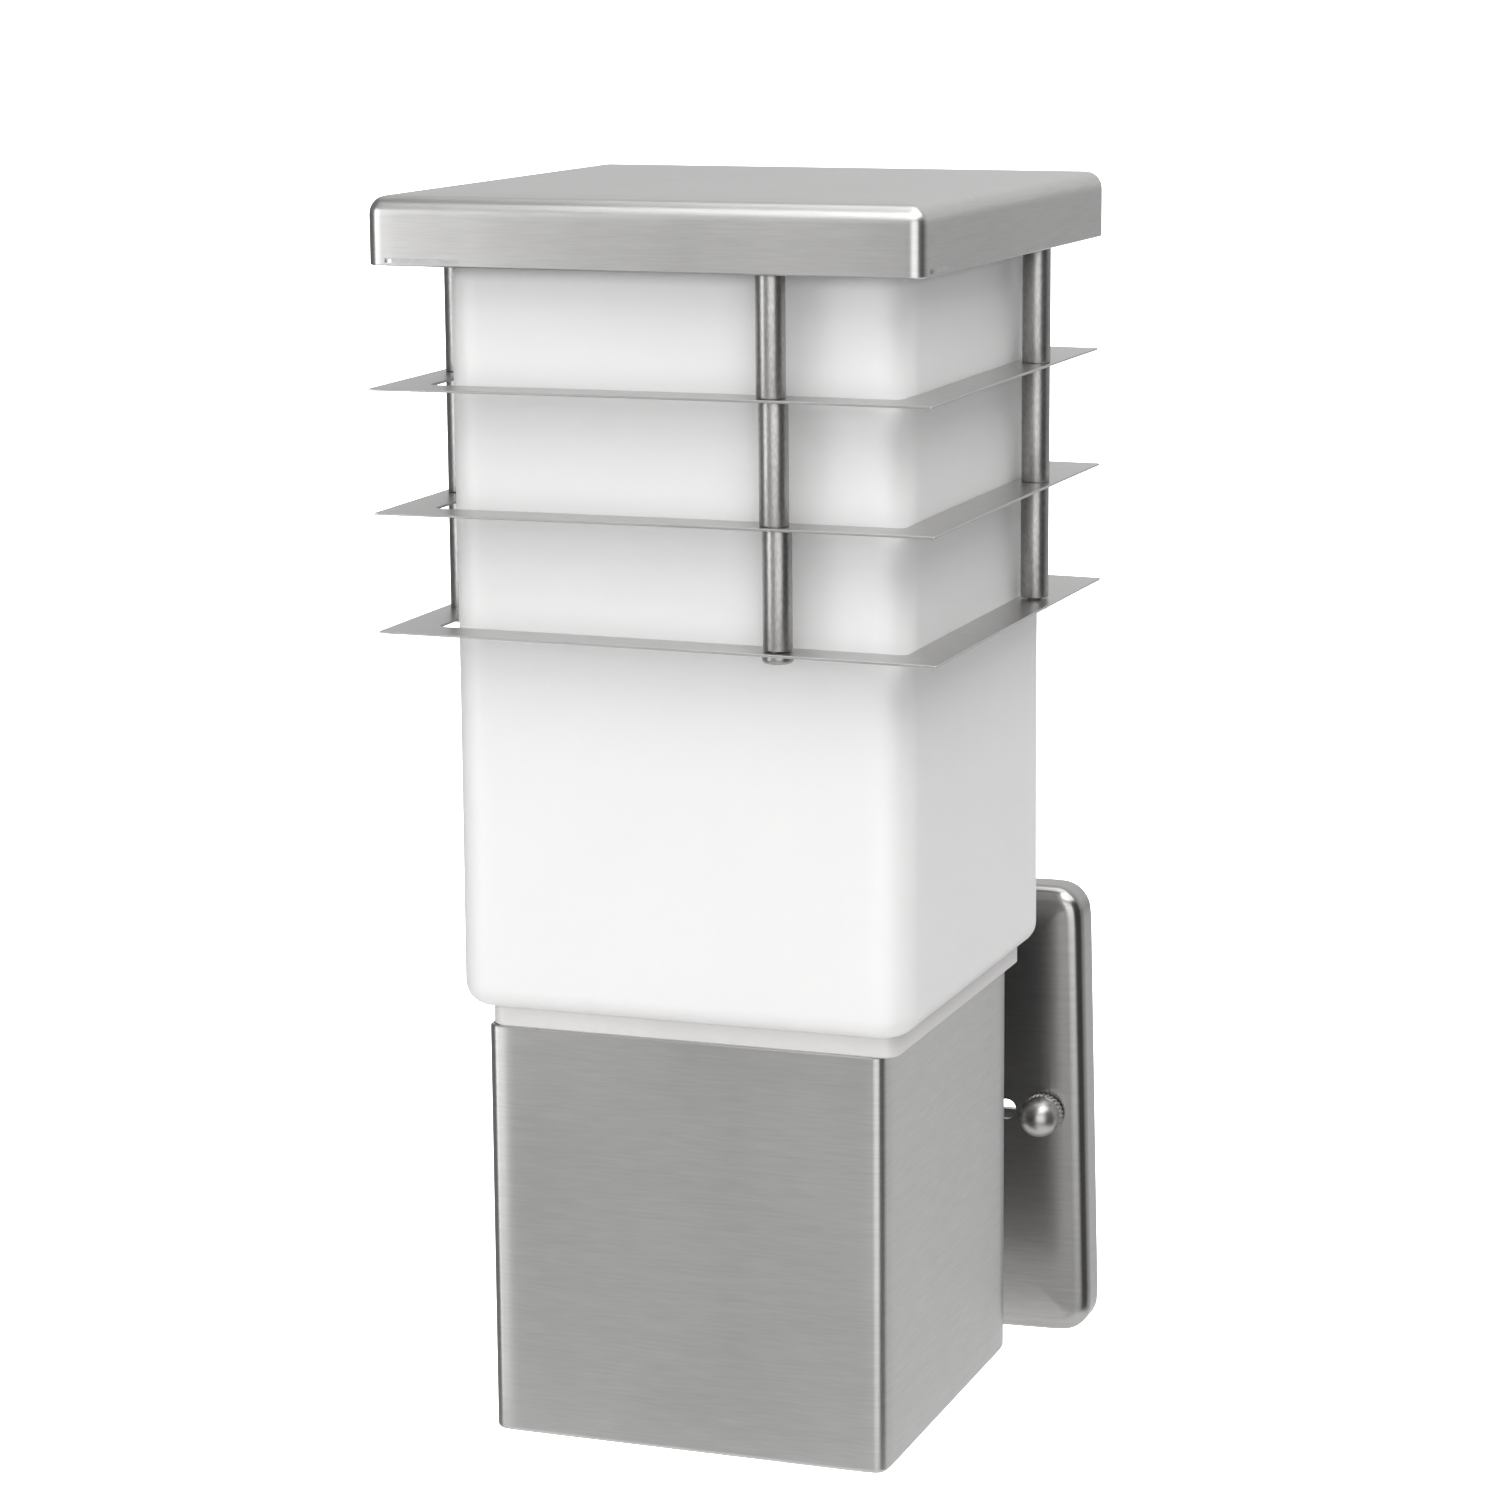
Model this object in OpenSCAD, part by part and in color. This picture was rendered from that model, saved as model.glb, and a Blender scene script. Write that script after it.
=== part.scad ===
// Outdoor wall lantern: a square opal glass shade under a pressed steel cap, three louvre
// frames hung from the cap on four posts, a square base box and a rectangular wall plate.
// Z is up, the lantern's front faces -Y, and the origin is the middle of the wall plate's
// back, in the plane of the wall.

/* [Base box] */
// Width and depth of the base box
box_w = 102; // [90:1:115]
// Height of the base box
box_h = 104; // [90:1:125]
// Sheet thickness of the base box
box_t = 1.2; // [0.8:0.1:2]
// Radius of the box's upright corners
box_r = 2.5; // [2.2:0.1:5]
// Distance from the arm's axis down to the underside of the box
arm_to_bottom = 53; // [45:1:60]
// Diameter of the two weep holes in the box's floor
weep_d = 4; // [3:0.5:6]

/* [Arm and wall plate] */
// Length of the arm tube between wall plate and box
arm_len = 38; // [25:1:60]
// Outside diameter of the arm tube
arm_d = 25; // [20:0.5:32]
// Height of the wall plate
plate_h = 123; // [100:1:150]
// Depth of the wall plate, wall to face
plate_depth = 12; // [10:0.5:25]
// Sheet thickness of the wall plate
plate_t = 1.2; // [0.8:0.1:1.5]
// Radius of the wall plate's corners
plate_r = 8; // [6:0.5:15]
// Distance between the two mounting studs
stud_pitch = 101.6; // [84:0.1:130]
// Distance from a stud to the wall plate's side
stud_edge = 10.2; // [9:0.1:20]
// Distance from a stud in to the spare hole and the slot beside it
stud_to_slot = 10.8; // [9.6:0.1:13]
// Diameter of the spare holes, and width of the slots
slot_d = 5.6; // [4.5:0.1:6.5]
// End-to-end length of each slot in the mounting bar
slot_len = 14; // [8:0.5:14]

/* [Glass shade] */
// How far the glass stands out past the box on each side
glass_over = 7.2; // [4:0.1:14]
// Height of the glass body, without its neck
glass_h = 182; // [150:1:240]
// Thickness of the glass
glass_t = 3; // [2:0.1:3.6]
// Radius of the glass's upright corners
glass_r = 9; // [7:0.5:11]
// Radius round the foot of the glass
foot_r = 6; // [4.5:0.5:6.9]
// Length of the neck below the glass body
neck_h = 18; // [15:0.5:24]

/* [Cap and louvres] */
// Sheet thickness of the louvre frames
louvre_t = 0.6; // [0.5:0.1:1.5]
// How far the cap's lower edge stands back from the louvres' edge
cap_inset = 0.5; // [0:0.1:3]
// Height of the cap
cap_h = 16.5; // [15:0.5:26]
// Sheet thickness of the cap
cap_t = 1; // [0.8:0.1:1.2]
// Length of one spacer tube, which sets the gap between two louvres
tube_len = 29; // [20:1:36]
// Outside diameter of the spacer tubes
tube_d = 7; // [5.8:0.1:10]
// Gap between a post and the inside of the cap's skirt
post_gap = 1; // [0.3:0.1:8]
// Distance of each post from the middle of its side
post_side = 31; // [0:1:45]

/* [Lamp] */
// Diameter of the lamp's globe
globe_d = 60; // [45:1:70]
// Height of the lamp from its contact to its crown
lamp_h = 105; // [95:1:125]

/* [Hidden] */
$fn = 64;

// Clearances and fits
eps = 0.01;              // hair's width by which touching cuts overlap
cut = 1;                 // overrun of a cut past the faces it opens
thread_gap = 0.02;       // radial gap of a thread that stays put
turn_gap = 0.05;         // radial gap of a thread or pin that turns
hole_gap = 0.15;         // radial gap of a rod in its hole
loose_gap = 0.3;         // radial gap of a loose washer on its stud
stud_hole_gap = 0.5;     // radial gap of a stud in the wall plate
neck_gap = 0.2;          // gap between the glass neck and its collar
louvre_gap = 1;          // gap between a louvre and the glass
tip_gap = 0.1;           // gap between a clamp tip and the neck
lamp_gap = 0.1;          // gap under the lamp's contact
barrel_gap = 0.1;        // gap between the earth lead's barrel and the bar
connector_gap = 0.4;     // gap round a connector behind the wall plate
screw_end_gap = 0.5;     // depth left past the end of a holder screw

// Screws and nuts
m3_r = 1.5;
m4_r = 2;
m4_af = 7;
m4_nut_t = 3.2;
m10_r = 5;
m10_af = 14;
m10_nut_t = 4;
nipple_r = 6.5;
nipple_bore_r = 4.8;
nipple_af = 19;
nipple_nut_t = 3.5;
washer_r = 10.8;
washer_t = 0.8;
nipple_inner_over = 0.7;
nipple_over = 1.5;

// Places along Y: the lantern's own axis stands out from the wall
plate_face_y = -plate_depth;
plate_w = stud_pitch + 2 * stud_edge;
slot_pitch = stud_pitch - 2 * stud_to_slot;
box_back_y = plate_face_y - arm_len;
axis_y = box_back_y - box_w / 2;

// Heights
box_low_z = -arm_to_bottom;
box_top_z = box_low_z + box_h;
box_edge_r = 2;
weep_inset = 17;

// Seal collar between box and glass: a rim on the box's edge and a lip down inside it
collar_h = 5.2;
collar_over = 1.5;
collar_r = 4;
lip_h = 4;
lip_t = 1.6;
lip_r = 3;
neck_w = box_w - 2 * (box_t + lip_t + neck_gap);
glass_w = box_w + 2 * glass_over;
glass_low_z = box_top_z + collar_h;
glass_top_z = glass_low_z + glass_h;
neck_r = 5;
shoulder_r = 4;

// Cap plate, and the cap that stands on it
gasket_t = 0.8;
cap_plate_t = 1;
post_inset = 1.3;
louvre_strip = post_inset + tube_d + post_gap + cap_t + cap_inset;
louvre_in_w = glass_w + 2 * louvre_gap;
louvre_w = louvre_in_w + 2 * louvre_strip;
cap_w = louvre_w - 2 * cap_inset;
cap_plate_z = glass_top_z + gasket_t;
skirt_drop = 0.8;
cap_low_z = cap_plate_z - skirt_drop;
cap_r = 4;
cap_edge_r = 3.8;

// Posts: one on each side, each set off to the same hand as it goes round
post_out = louvre_in_w / 2 + post_inset + tube_d / 2;
rod_bore_gap = 0.5;
louvre_step = tube_len + louvre_t;
louvre_upper_z = cap_plate_z - louvre_step;
louvre_in_r = 3;
louvre_out_r = 0.8;
button_d = 7.6;
button_h = 2.5;
button_floor = 0.9;
button_soft_r = 1.2;
button_low_z = louvre_upper_z - 2 * louvre_step - button_h;
rod_low_z = button_low_z + button_floor;
rod_over = 1.3;

// Top fixing of the glass
glass_nipple_bore_r = 3.2;
glass_hole_gap = 1.5;
glass_washer_r = 14;
glass_washer_t = 1.2;
glass_pad_t = 1;
glass_gasket_r = 26;

// Wall plate, mounting bar and knob nuts
plate_edge_r = 4;
bar_h = 24;
bar_t = 2;
bar_end = 4.2;
bar_hole_r = 9;
gasket_w = 3.6;
gasket_d = 3;
gasket_corner_gap = 0.7;
gasket_r = plate_r - plate_t + gasket_corner_gap;
stud_hole_r = m4_r + stud_hole_gap;
knob_r = 5.6;
knob_rim_h = 2.6;
ball_r = 5.3;
ball_h = 4.4;
knob_washer_r = 5.1;
knob_washer_t = 0.8;
knob_bore_depth = 7;
stud_tip_gap = 0.6;
stud_out = plate_depth + knob_washer_t + knob_bore_depth - stud_tip_gap;
knob_flutes = 28;
flute_r = 0.35;

// The two clamp screws that hold the glass neck, side by side in the back of the box
clamp_x = 30;
clamp_below_lip = 4;
clamp_z = box_top_z - lip_h - clamp_below_lip;
boss_r = 4;
boss_h = 5;
spigot_r = 3;
tip_r = 1.3;
tip_len = 2.6;
tip_seat = 1.2;
clamp_head_gap = 3.6;
clamp_head_r = 4;
clamp_head_h = 3;
slot_w = 1;
slot_deep = 1.2;

// Lampholder and its bracket
bracket_t = 1.5;
bracket_w = 32;
bracket_z = 13;
bracket_foot = 3;
bracket_end = 1;
holder_z = bracket_z + bracket_t;
holder_r = 19;
holder_h = 35.5;
holder_bore_r = 15;
holder_floor = 9.5;
shell_r = 14.5;
shell_t = 0.5;
shell_h = 23;
holder_screw_y = 12;
holder_screw_deep = 7;
screw_head_r = 2.8;
screw_head_h = 2.2;
shell_hole_r = 6;
contact_r = 3;
contact_h = 2;
lead_hole_x = 7;
lead_hole_r = 2.2;

// Lamp with an E26 or E27 cap
lamp_z = holder_z + holder_floor + contact_h + lamp_gap;
lamp_contact_r = 4;
lamp_contact_h = 1;
insulator_r = 11;
insulator_h = 3;
lamp_cap_r = 13.1;
lamp_cap_t = 0.4;
lamp_cap_h = 22;
globe_t = 0.8;
globe_neck_r = 12.6;
globe_sink = 5;
globe_cone_top = 0.62;

// Leads: inside the box, through the arm nipple and down behind the wall plate
lead_r = 1.1;
lead_sides = 8;
lead_pass_x = 1.8;
connector_x = 9;
connector_y = -(plate_depth - plate_t + bar_t) / 2;
connector_z = -22;
connector_h = 17;
connector_r1 = 2.5;
connector_r2 = min(3.6, (plate_depth - plate_t - bar_t) / 2 - connector_gap);
earth_x = -(bar_hole_r + (slot_pitch - slot_len) / 2) / 2;
earth_lug_t = 0.8;
earth_lug_r = 4.8;
earth_barrel_r = 1.3;
earth_barrel_h = 6;
earth_barrel_in = 0.6;
earth_head_r = 3.8;
earth_y = -bar_t - earth_barrel_r - barrel_gap;
lamp_lead_route = [[lead_hole_x, 0, holder_z], [lead_hole_x, 0, 9], [6.6, 2, 4], [5.4, 8, 0.8],
    [3.6, 16, 0], [2.2, 24, 0], [lead_pass_x, 32, 0]];
wall_lead_route = [[lead_pass_x, -30, 0], [lead_pass_x, -7.5, 0], [lead_pass_x, -4.6, -0.7],
    [2, -3.2, -3], [2.6, -3.3, -7], [4.2, -3.9, -11], [6.6, -5.2, -15], [8.4, -6.2, -18.4],
    [connector_x, connector_y, connector_z + 1.6], [connector_x, connector_y, connector_z]];
earth_route = [[earth_x, earth_y, -earth_lug_r - earth_barrel_h], [earth_x, earth_y, -12.4],
    [earth_x, -4.4, -16], [earth_x, -5.9, -19], [earth_x, connector_y, connector_z + 1.4],
    [earth_x, connector_y, connector_z]];

steel = [0.72, 0.72, 0.71];
dark_steel = [0.52, 0.52, 0.51];
opal = [0.93, 0.92, 0.9];
milky = [0.82, 0.82, 0.81];
brass = [0.75, 0.6, 0.3];
porcelain = [0.92, 0.9, 0.86];
black = [0.08, 0.08, 0.08];

// A flat rectangle with round corners
module round_rect(w, d, r) {
    square([w - 2 * r, d], center = true);
    square([w, d - 2 * r], center = true);
    for (x = [-1, 1], y = [-1, 1])
        translate([x * (w / 2 - r), y * (d / 2 - r)]) circle(r);
}

// A flat frame: a rounded rectangle with a rounded opening
module round_frame(w, d, r, in_w, in_d, in_r) {
    difference() {
        round_rect(w, d, r);
        round_rect(in_w, in_d, in_r);
    }
}

// A block r wide and h tall whose top outer corner is round; back is how far it goes inward of 0
module edge_block(r, h, edge_r, back = 0) {
    intersection() {
        union() {
            translate([-back, 0]) square([r + back, h - edge_r]);
            translate([-back, 0]) square([r - edge_r + back, h]);
            translate([r - edge_r, h - edge_r]) circle(edge_r);
        }
        translate([-back, 0]) square([r + back, h]);
    }
}

// The same block with a round bottom corner as well
module pillow_block(r, h, top_r, low_r, back = 0) {
    intersection() {
        edge_block(r, h, top_r, back);
        translate([0, h]) mirror([0, 1]) edge_block(r, h, low_r, back);
    }
}

// Carries a profile round a rectangle with corners of radius r; profile x = 0 is a corner's centre
module sweep_round(w, d, r) {
    for (k = [0:3]) rotate(90 * k) {
        reach = k % 2 == 0 ? w : d;
        run = k % 2 == 0 ? d : w;
        translate([reach / 2 - r, run / 2 - r, 0]) rotate_extrude(angle = 90) children();
        translate([reach / 2 - r, run / 2 - r, 0]) rotate([90, 0, 0])
            linear_extrude(run - 2 * r) children();
    }
}

// A pressed pan, open below, with its closed face at the top and a soft edge round it
module pan(w, d, h, r, edge_r, t) {
    sweep_round(w, d, r) difference() {
        edge_block(r, h, edge_r);
        translate([0, -eps]) edge_block(r - t, h - t + eps, edge_r - t, eps);
    }
    translate([r - w / 2, r - d / 2, h - t]) cube([w - 2 * r, d - 2 * r, t]);
}

// Washer or plain ring
module ring(r, bore_r, h) {
    difference() {
        cylinder(r = r, h = h);
        translate([0, 0, -cut]) cylinder(r = bore_r, h = h + 2 * cut);
    }
}

// Hexagon nut by its width across flats
module hex_nut(af, bore_r, h) {
    difference() {
        cylinder(r = af / sqrt(3), h = h, $fn = 6);
        translate([0, 0, -cut]) cylinder(r = bore_r, h = h + 2 * cut);
    }
}

// Pan-head screw standing on z = 0 with its shank below, slotted
module pan_screw(r, shank, head_r, head_h) {
    difference() {
        cylinder(r = head_r, h = head_h);
        translate([-head_r, -slot_w / 2, head_h / 2]) cube([2 * head_r, slot_w, head_h]);
    }
    translate([0, 0, -shank]) cylinder(r = r, h = shank);
}

// Moves to the lantern's own axis
module on_axis() {
    translate([0, axis_y, 0]) children();
}

// Stands a piece that points up so that it points out of the wall, at the given place
module out_of_wall(x, y, z) {
    translate([x, y, z]) rotate([90, 0, 0]) children();
}

// Both mounting studs' places
module at_studs(y) {
    for (side = [-1, 1]) out_of_wall(side * stud_pitch / 2, y, 0) children();
}

// The four posts' places, about the lantern's axis
module at_posts(z) {
    on_axis() for (k = [0:3]) rotate(90 * k) translate([post_side, -post_out, z]) children();
}

// The places of the two slots, and of the two spare holes in front of them
module at_slots(y) {
    for (side = [-1, 1]) out_of_wall(side * slot_pitch / 2, y, 0) children();
}

// Route helpers: unit vector, direction along a route, and a round tube through its points
function unit(v) = v / norm(v);
function heading(p, i) = unit(p[min(i + 1, len(p) - 1)] - p[max(i - 1, 0)]);
function route_ring(p, i, r, ref) =
    let (t = heading(p, i), n = unit(cross(t, ref)), b = cross(t, n))
    [for (k = [0:lead_sides - 1]) let (a = 360 * k / lead_sides) p[i] + r * (cos(a) * n + sin(a) * b)];

module route_tube(p, r, ref) {
    last = len(p) - 1;
    s = lead_sides;
    polyhedron(
        points = [for (i = [0:last]) each route_ring(p, i, r, ref)],
        faces = concat(
            [[for (k = [0:s - 1]) k]],
            [for (i = [0:last - 1], k = [0:s - 1])
                [i * s + (k + 1) % s, i * s + k, (i + 1) * s + k, (i + 1) * s + (k + 1) % s]],
            [[for (k = [s - 1:-1:0]) last * s + k]]));
}

// ---- Wall plate and what holds it to the wall ----

module wall_plate() {
    color(steel) difference() {
        out_of_wall(0, 0, 0) pan(plate_w, plate_h, plate_depth, plate_r, plate_edge_r, plate_t);
        out_of_wall(0, plate_face_y + 2 * plate_t, 0) cylinder(r = nipple_r + hole_gap, h = 3 * plate_t);
        at_studs(plate_face_y + 2 * plate_t) cylinder(r = stud_hole_r, h = 3 * plate_t);
        at_slots(plate_face_y + 2 * plate_t) cylinder(d = slot_d, h = 3 * plate_t);
    }
}

module plate_gasket() {
    w = plate_w - 2 * plate_t;
    h = plate_h - 2 * plate_t;
    color(black) out_of_wall(0, 0, 0) linear_extrude(gasket_d)
        round_frame(w, h, gasket_r, w - 2 * gasket_w, h - 2 * gasket_w, gasket_r - gasket_w);
}

module mounting_bar() {
    color(dark_steel) difference() {
        out_of_wall(0, 0, 0) translate([-stud_pitch / 2 - bar_end, -bar_h / 2, 0])
            cube([stud_pitch + 2 * bar_end, bar_h, bar_t]);
        out_of_wall(0, cut, 0) cylinder(r = bar_hole_r, h = bar_t + 2 * cut);
        at_studs(cut) cylinder(r = m4_r + thread_gap, h = bar_t + 2 * cut);
        out_of_wall(earth_x, cut, 0) cylinder(r = m4_r + thread_gap, h = bar_t + 2 * cut);
        at_slots(cut) linear_extrude(bar_t + 2 * cut) {
            square([slot_len - slot_d, slot_d], center = true);
            for (end = [-1, 1]) translate([end * (slot_len - slot_d) / 2, 0]) circle(d = slot_d);
        }
    }
}

module mount_studs() {
    color(steel) at_studs(0) cylinder(r = m4_r, h = stud_out);
}

module stud_nuts() {
    color(steel) at_studs(-bar_t) hex_nut(m4_af, m4_r + thread_gap, m4_nut_t);
}

module earth_screw() {
    color("green") out_of_wall(earth_x, -bar_t - earth_lug_t, 0)
        pan_screw(m4_r, bar_t + earth_lug_t, earth_head_r, screw_head_h);
}

module earth_terminal() {
    color(brass) {
        out_of_wall(earth_x, -bar_t, 0) ring(earth_lug_r, m4_r + thread_gap, earth_lug_t);
        translate([earth_x, earth_y, -earth_lug_r - earth_barrel_h])
            cylinder(r = earth_barrel_r, h = earth_barrel_h + earth_barrel_in);
    }
}

module earth_lead() {
    color("green") route_tube(earth_route, lead_r, [0, 1, 0]);
}

// A lead's two stretches as one route: lampholder to arm, then arm to connector
function lead_route(side) = [for (p = concat(
        [for (q = lamp_lead_route) [q[0], q[1] + axis_y, q[2]]],
        wall_lead_route)) [side * p[0], p[1], p[2]]];

module lead_live() {
    color(black) route_tube(lead_route(1), lead_r, [1, 0, 0]);
}

module lead_neutral() {
    color("white") route_tube(lead_route(-1), lead_r, [1, 0, 0]);
}

module wire_connectors() {
    color("orange") for (x = [-connector_x, connector_x, earth_x])
        translate([x, connector_y, connector_z - connector_h])
            cylinder(r1 = connector_r1, r2 = connector_r2, h = connector_h);
}

// ---- Arm ----

module arm_tube() {
    color(steel) out_of_wall(0, plate_face_y, 0) ring(arm_d / 2, arm_d / 2 - box_t, arm_len);
}

module arm_nipple() {
    inner_y = plate_face_y + plate_t + washer_t + nipple_nut_t + nipple_inner_over;
    outer_y = box_back_y - box_t - bracket_t - washer_t - nipple_nut_t - nipple_over;
    color(brass) out_of_wall(0, inner_y, 0) ring(nipple_r, nipple_bore_r, inner_y - outer_y);
}

module arm_washers() {
    color(steel) for (y = [plate_face_y + plate_t + washer_t, box_back_y - box_t - bracket_t])
        out_of_wall(0, y, 0) ring(washer_r, nipple_r + hole_gap, washer_t);
}

module arm_nuts() {
    color(steel) for (y = [plate_face_y + plate_t + washer_t + nipple_nut_t,
            box_back_y - box_t - bracket_t - washer_t])
        out_of_wall(0, y, 0) hex_nut(nipple_af, nipple_r + thread_gap, nipple_nut_t);
}

// ---- Base box ----

module base_box() {
    color(steel) difference() {
        on_axis() translate([0, 0, box_top_z]) mirror([0, 0, 1])
            pan(box_w, box_w, box_h, box_r, box_edge_r, box_t);
        out_of_wall(0, box_back_y + cut, 0) cylinder(r = nipple_r + hole_gap, h = box_t + 2 * cut);
        at_clamps() translate([0, 0, -box_t - cut])
            cylinder(r = spigot_r + thread_gap, h = box_t + 2 * cut);
        on_axis() for (side = [-1, 1]) translate([side * (box_w / 2 - weep_inset), 0, box_low_z - cut])
            cylinder(d = weep_d, h = box_t + 2 * cut);
    }
}

module seal_collar() {
    outer = box_w + 2 * collar_over;
    inner = neck_w + 2 * neck_gap;
    lip = box_w - 2 * box_t;
    color(milky) on_axis() {
        translate([0, 0, box_top_z]) linear_extrude(collar_h)
            round_frame(outer, outer, collar_r, inner, inner, neck_r);
        translate([0, 0, box_top_z - lip_h]) linear_extrude(lip_h)
            round_frame(lip, lip, lip_r, inner, inner, neck_r);
    }
}

// Place of a clamp screw, which points out of the back of the box from its face at z = 0
module at_clamp(side) {
    translate([side * clamp_x, box_back_y, clamp_z]) rotate([-90, 0, 0]) children();
}

module at_clamps() {
    for (side = [-1, 1]) at_clamp(side) children();
}

module clamp_bosses() {
    color(steel) at_clamps() difference() {
        union() {
            cylinder(r = boss_r, h = boss_h);
            translate([0, 0, -box_t]) cylinder(r = spigot_r, h = box_t + cut);
        }
        translate([0, 0, -box_t - cut]) cylinder(r = m4_r + turn_gap, h = boss_h + box_t + 2 * cut);
    }
}

// Depth of the neck's face below the face of the box
function tip_z() = -(box_w - neck_w) / 2 + tip_gap;

module clamp_tip(side) {
    color(milky) at_clamp(side) translate([0, 0, tip_z()]) cylinder(r = tip_r, h = tip_len);
}

module clamp_screw(side) {
    start = tip_z() + tip_len - tip_seat;
    head_z = boss_h + clamp_head_gap;
    color(steel) at_clamp(side) difference() {
        union() {
            translate([0, 0, start]) cylinder(r = m4_r, h = head_z - start);
            translate([0, 0, head_z]) cylinder(r = clamp_head_r, h = clamp_head_h);
        }
        translate([0, 0, start - cut]) cylinder(r = tip_r + turn_gap, h = cut + tip_seat + turn_gap);
        translate([-clamp_head_r, -slot_w / 2, head_z + clamp_head_h - slot_deep])
            cube([2 * clamp_head_r, slot_w, 2 * slot_deep]);
    }
}

module clamp_tip_left() {
    clamp_tip(-1);
}

module clamp_tip_right() {
    clamp_tip(1);
}

module clamp_screw_left() {
    clamp_screw(-1);
}

module clamp_screw_right() {
    clamp_screw(1);
}

// ---- Lampholder ----

module holder_bracket() {
    reach = axis_y - holder_r + bracket_end;
    wall_y = box_back_y - box_t;
    low_z = -washer_r - bracket_foot;
    color(dark_steel) difference() {
        union() {
            translate([-bracket_w / 2, wall_y - bracket_t, low_z])
                cube([bracket_w, bracket_t, holder_z - low_z]);
            translate([-bracket_w / 2, reach, bracket_z]) cube([bracket_w, wall_y - reach, bracket_t]);
        }
        out_of_wall(0, wall_y + cut, 0) cylinder(r = nipple_r + hole_gap, h = bracket_t + 2 * cut);
        on_axis() for (side = [-1, 1]) {
            translate([side * lead_hole_x, 0, bracket_z - cut])
                cylinder(r = lead_hole_r, h = bracket_t + 2 * cut);
            translate([0, side * holder_screw_y, bracket_z - cut])
                cylinder(r = m3_r + hole_gap, h = bracket_t + 2 * cut);
        }
    }
}

module holder_body() {
    color(porcelain) on_axis() translate([0, 0, holder_z]) difference() {
        cylinder(r = holder_r, h = holder_h);
        translate([0, 0, holder_floor]) cylinder(r = holder_bore_r, h = holder_h);
        for (side = [-1, 1]) translate([0, side * holder_screw_y, -cut])
            cylinder(r = m3_r + thread_gap, h = cut + holder_screw_deep + screw_end_gap);
    }
}

module holder_shell() {
    color(brass) on_axis() translate([0, 0, holder_z + holder_floor]) difference() {
        cylinder(r = shell_r, h = shell_h);
        translate([0, 0, shell_t]) cylinder(r = shell_r - shell_t, h = shell_h);
        translate([0, 0, -cut]) cylinder(r = shell_hole_r, h = shell_t + 2 * cut);
    }
}

module holder_contact() {
    color(brass) on_axis() translate([0, 0, holder_z + holder_floor]) cylinder(r = contact_r, h = contact_h);
}

module holder_screws() {
    color(steel) on_axis() for (side = [-1, 1]) translate([0, side * holder_screw_y, bracket_z])
        mirror([0, 0, 1]) pan_screw(m3_r, bracket_t + holder_screw_deep, screw_head_r, screw_head_h);
}

// ---- Knob nuts ----

module knob_washer(side) {
    color(black) out_of_wall(side * stud_pitch / 2, plate_face_y, 0)
        ring(knob_washer_r, m4_r + loose_gap, knob_washer_t);
}

module knob_nut(side) {
    color(steel) out_of_wall(side * stud_pitch / 2, plate_face_y - knob_washer_t, 0) difference() {
        union() {
            cylinder(r = knob_r, h = knob_rim_h);
            translate([0, 0, ball_h]) sphere(ball_r);
        }
        for (k = [0:knob_flutes - 1]) rotate(360 * k / knob_flutes) translate([knob_r, 0, -cut])
            cylinder(r = flute_r, h = cut + knob_rim_h + eps, $fn = 16);
        translate([0, 0, -ball_r]) cylinder(r = m4_r + turn_gap, h = ball_r + knob_bore_depth);
        translate([0, 0, -2 * ball_r]) cylinder(r = 2 * ball_r, h = 2 * ball_r);
    }
}

module knob_washer_left() {
    knob_washer(-1);
}

module knob_washer_right() {
    knob_washer(1);
}

module knob_nut_left() {
    knob_nut(-1);
}

module knob_nut_right() {
    knob_nut(1);
}

// ---- Lamp ----

module lamp_contact() {
    color(brass) on_axis() translate([0, 0, lamp_z]) cylinder(r = lamp_contact_r, h = lamp_contact_h);
}

module lamp_insulator() {
    color(black) on_axis() translate([0, 0, lamp_z + lamp_contact_h])
        cylinder(r1 = lamp_contact_r, r2 = insulator_r, h = insulator_h);
}

module lamp_cap() {
    color(brass) on_axis() translate([0, 0, lamp_z + lamp_contact_h + insulator_h]) difference() {
        cylinder(r = lamp_cap_r, h = lamp_cap_h);
        translate([0, 0, lamp_cap_t]) cylinder(r = lamp_cap_r - lamp_cap_t, h = lamp_cap_h);
    }
}

// The globe's outside, or with shrink its inside: a round top on a cone and a short neck
module globe_form(shrink) {
    top_r = globe_d / 2;
    centre_z = lamp_h - top_r;
    low_z = lamp_contact_h + insulator_h + lamp_cap_h - globe_sink;
    mid_r = top_r * sqrt(1 - pow(globe_cone_top, 2));
    neck_r0 = globe_neck_r - shrink;
    translate([0, 0, centre_z]) sphere(top_r - shrink);
    translate([0, 0, low_z]) cylinder(r = neck_r0, h = globe_sink + 1);
    translate([0, 0, low_z + globe_sink]) cylinder(r1 = neck_r0, r2 = mid_r - shrink,
        h = centre_z - top_r * globe_cone_top - low_z - globe_sink);
}

module lamp_globe() {
    color("white") on_axis() translate([0, 0, lamp_z]) difference() {
        globe_form(0);
        translate([0, 0, globe_t]) globe_form(globe_t);
    }
}

// ---- Head: cap, louvres and posts ----

module cap() {
    color(steel) on_axis() translate([0, 0, cap_low_z])
        pan(cap_w, cap_w, cap_h, cap_r, cap_edge_r, cap_t);
}

module cap_plate() {
    w = cap_w - 2 * cap_t;
    color(dark_steel) difference() {
        on_axis() translate([0, 0, cap_plate_z]) linear_extrude(cap_plate_t) round_rect(w, w, cap_r);
        on_axis() translate([0, 0, cap_plate_z - cut])
            cylinder(r = m10_r + hole_gap, h = cap_plate_t + 2 * cut);
        at_posts(cap_plate_z - cut) cylinder(r = m4_r + hole_gap, h = cap_plate_t + 2 * cut);
    }
}

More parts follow.
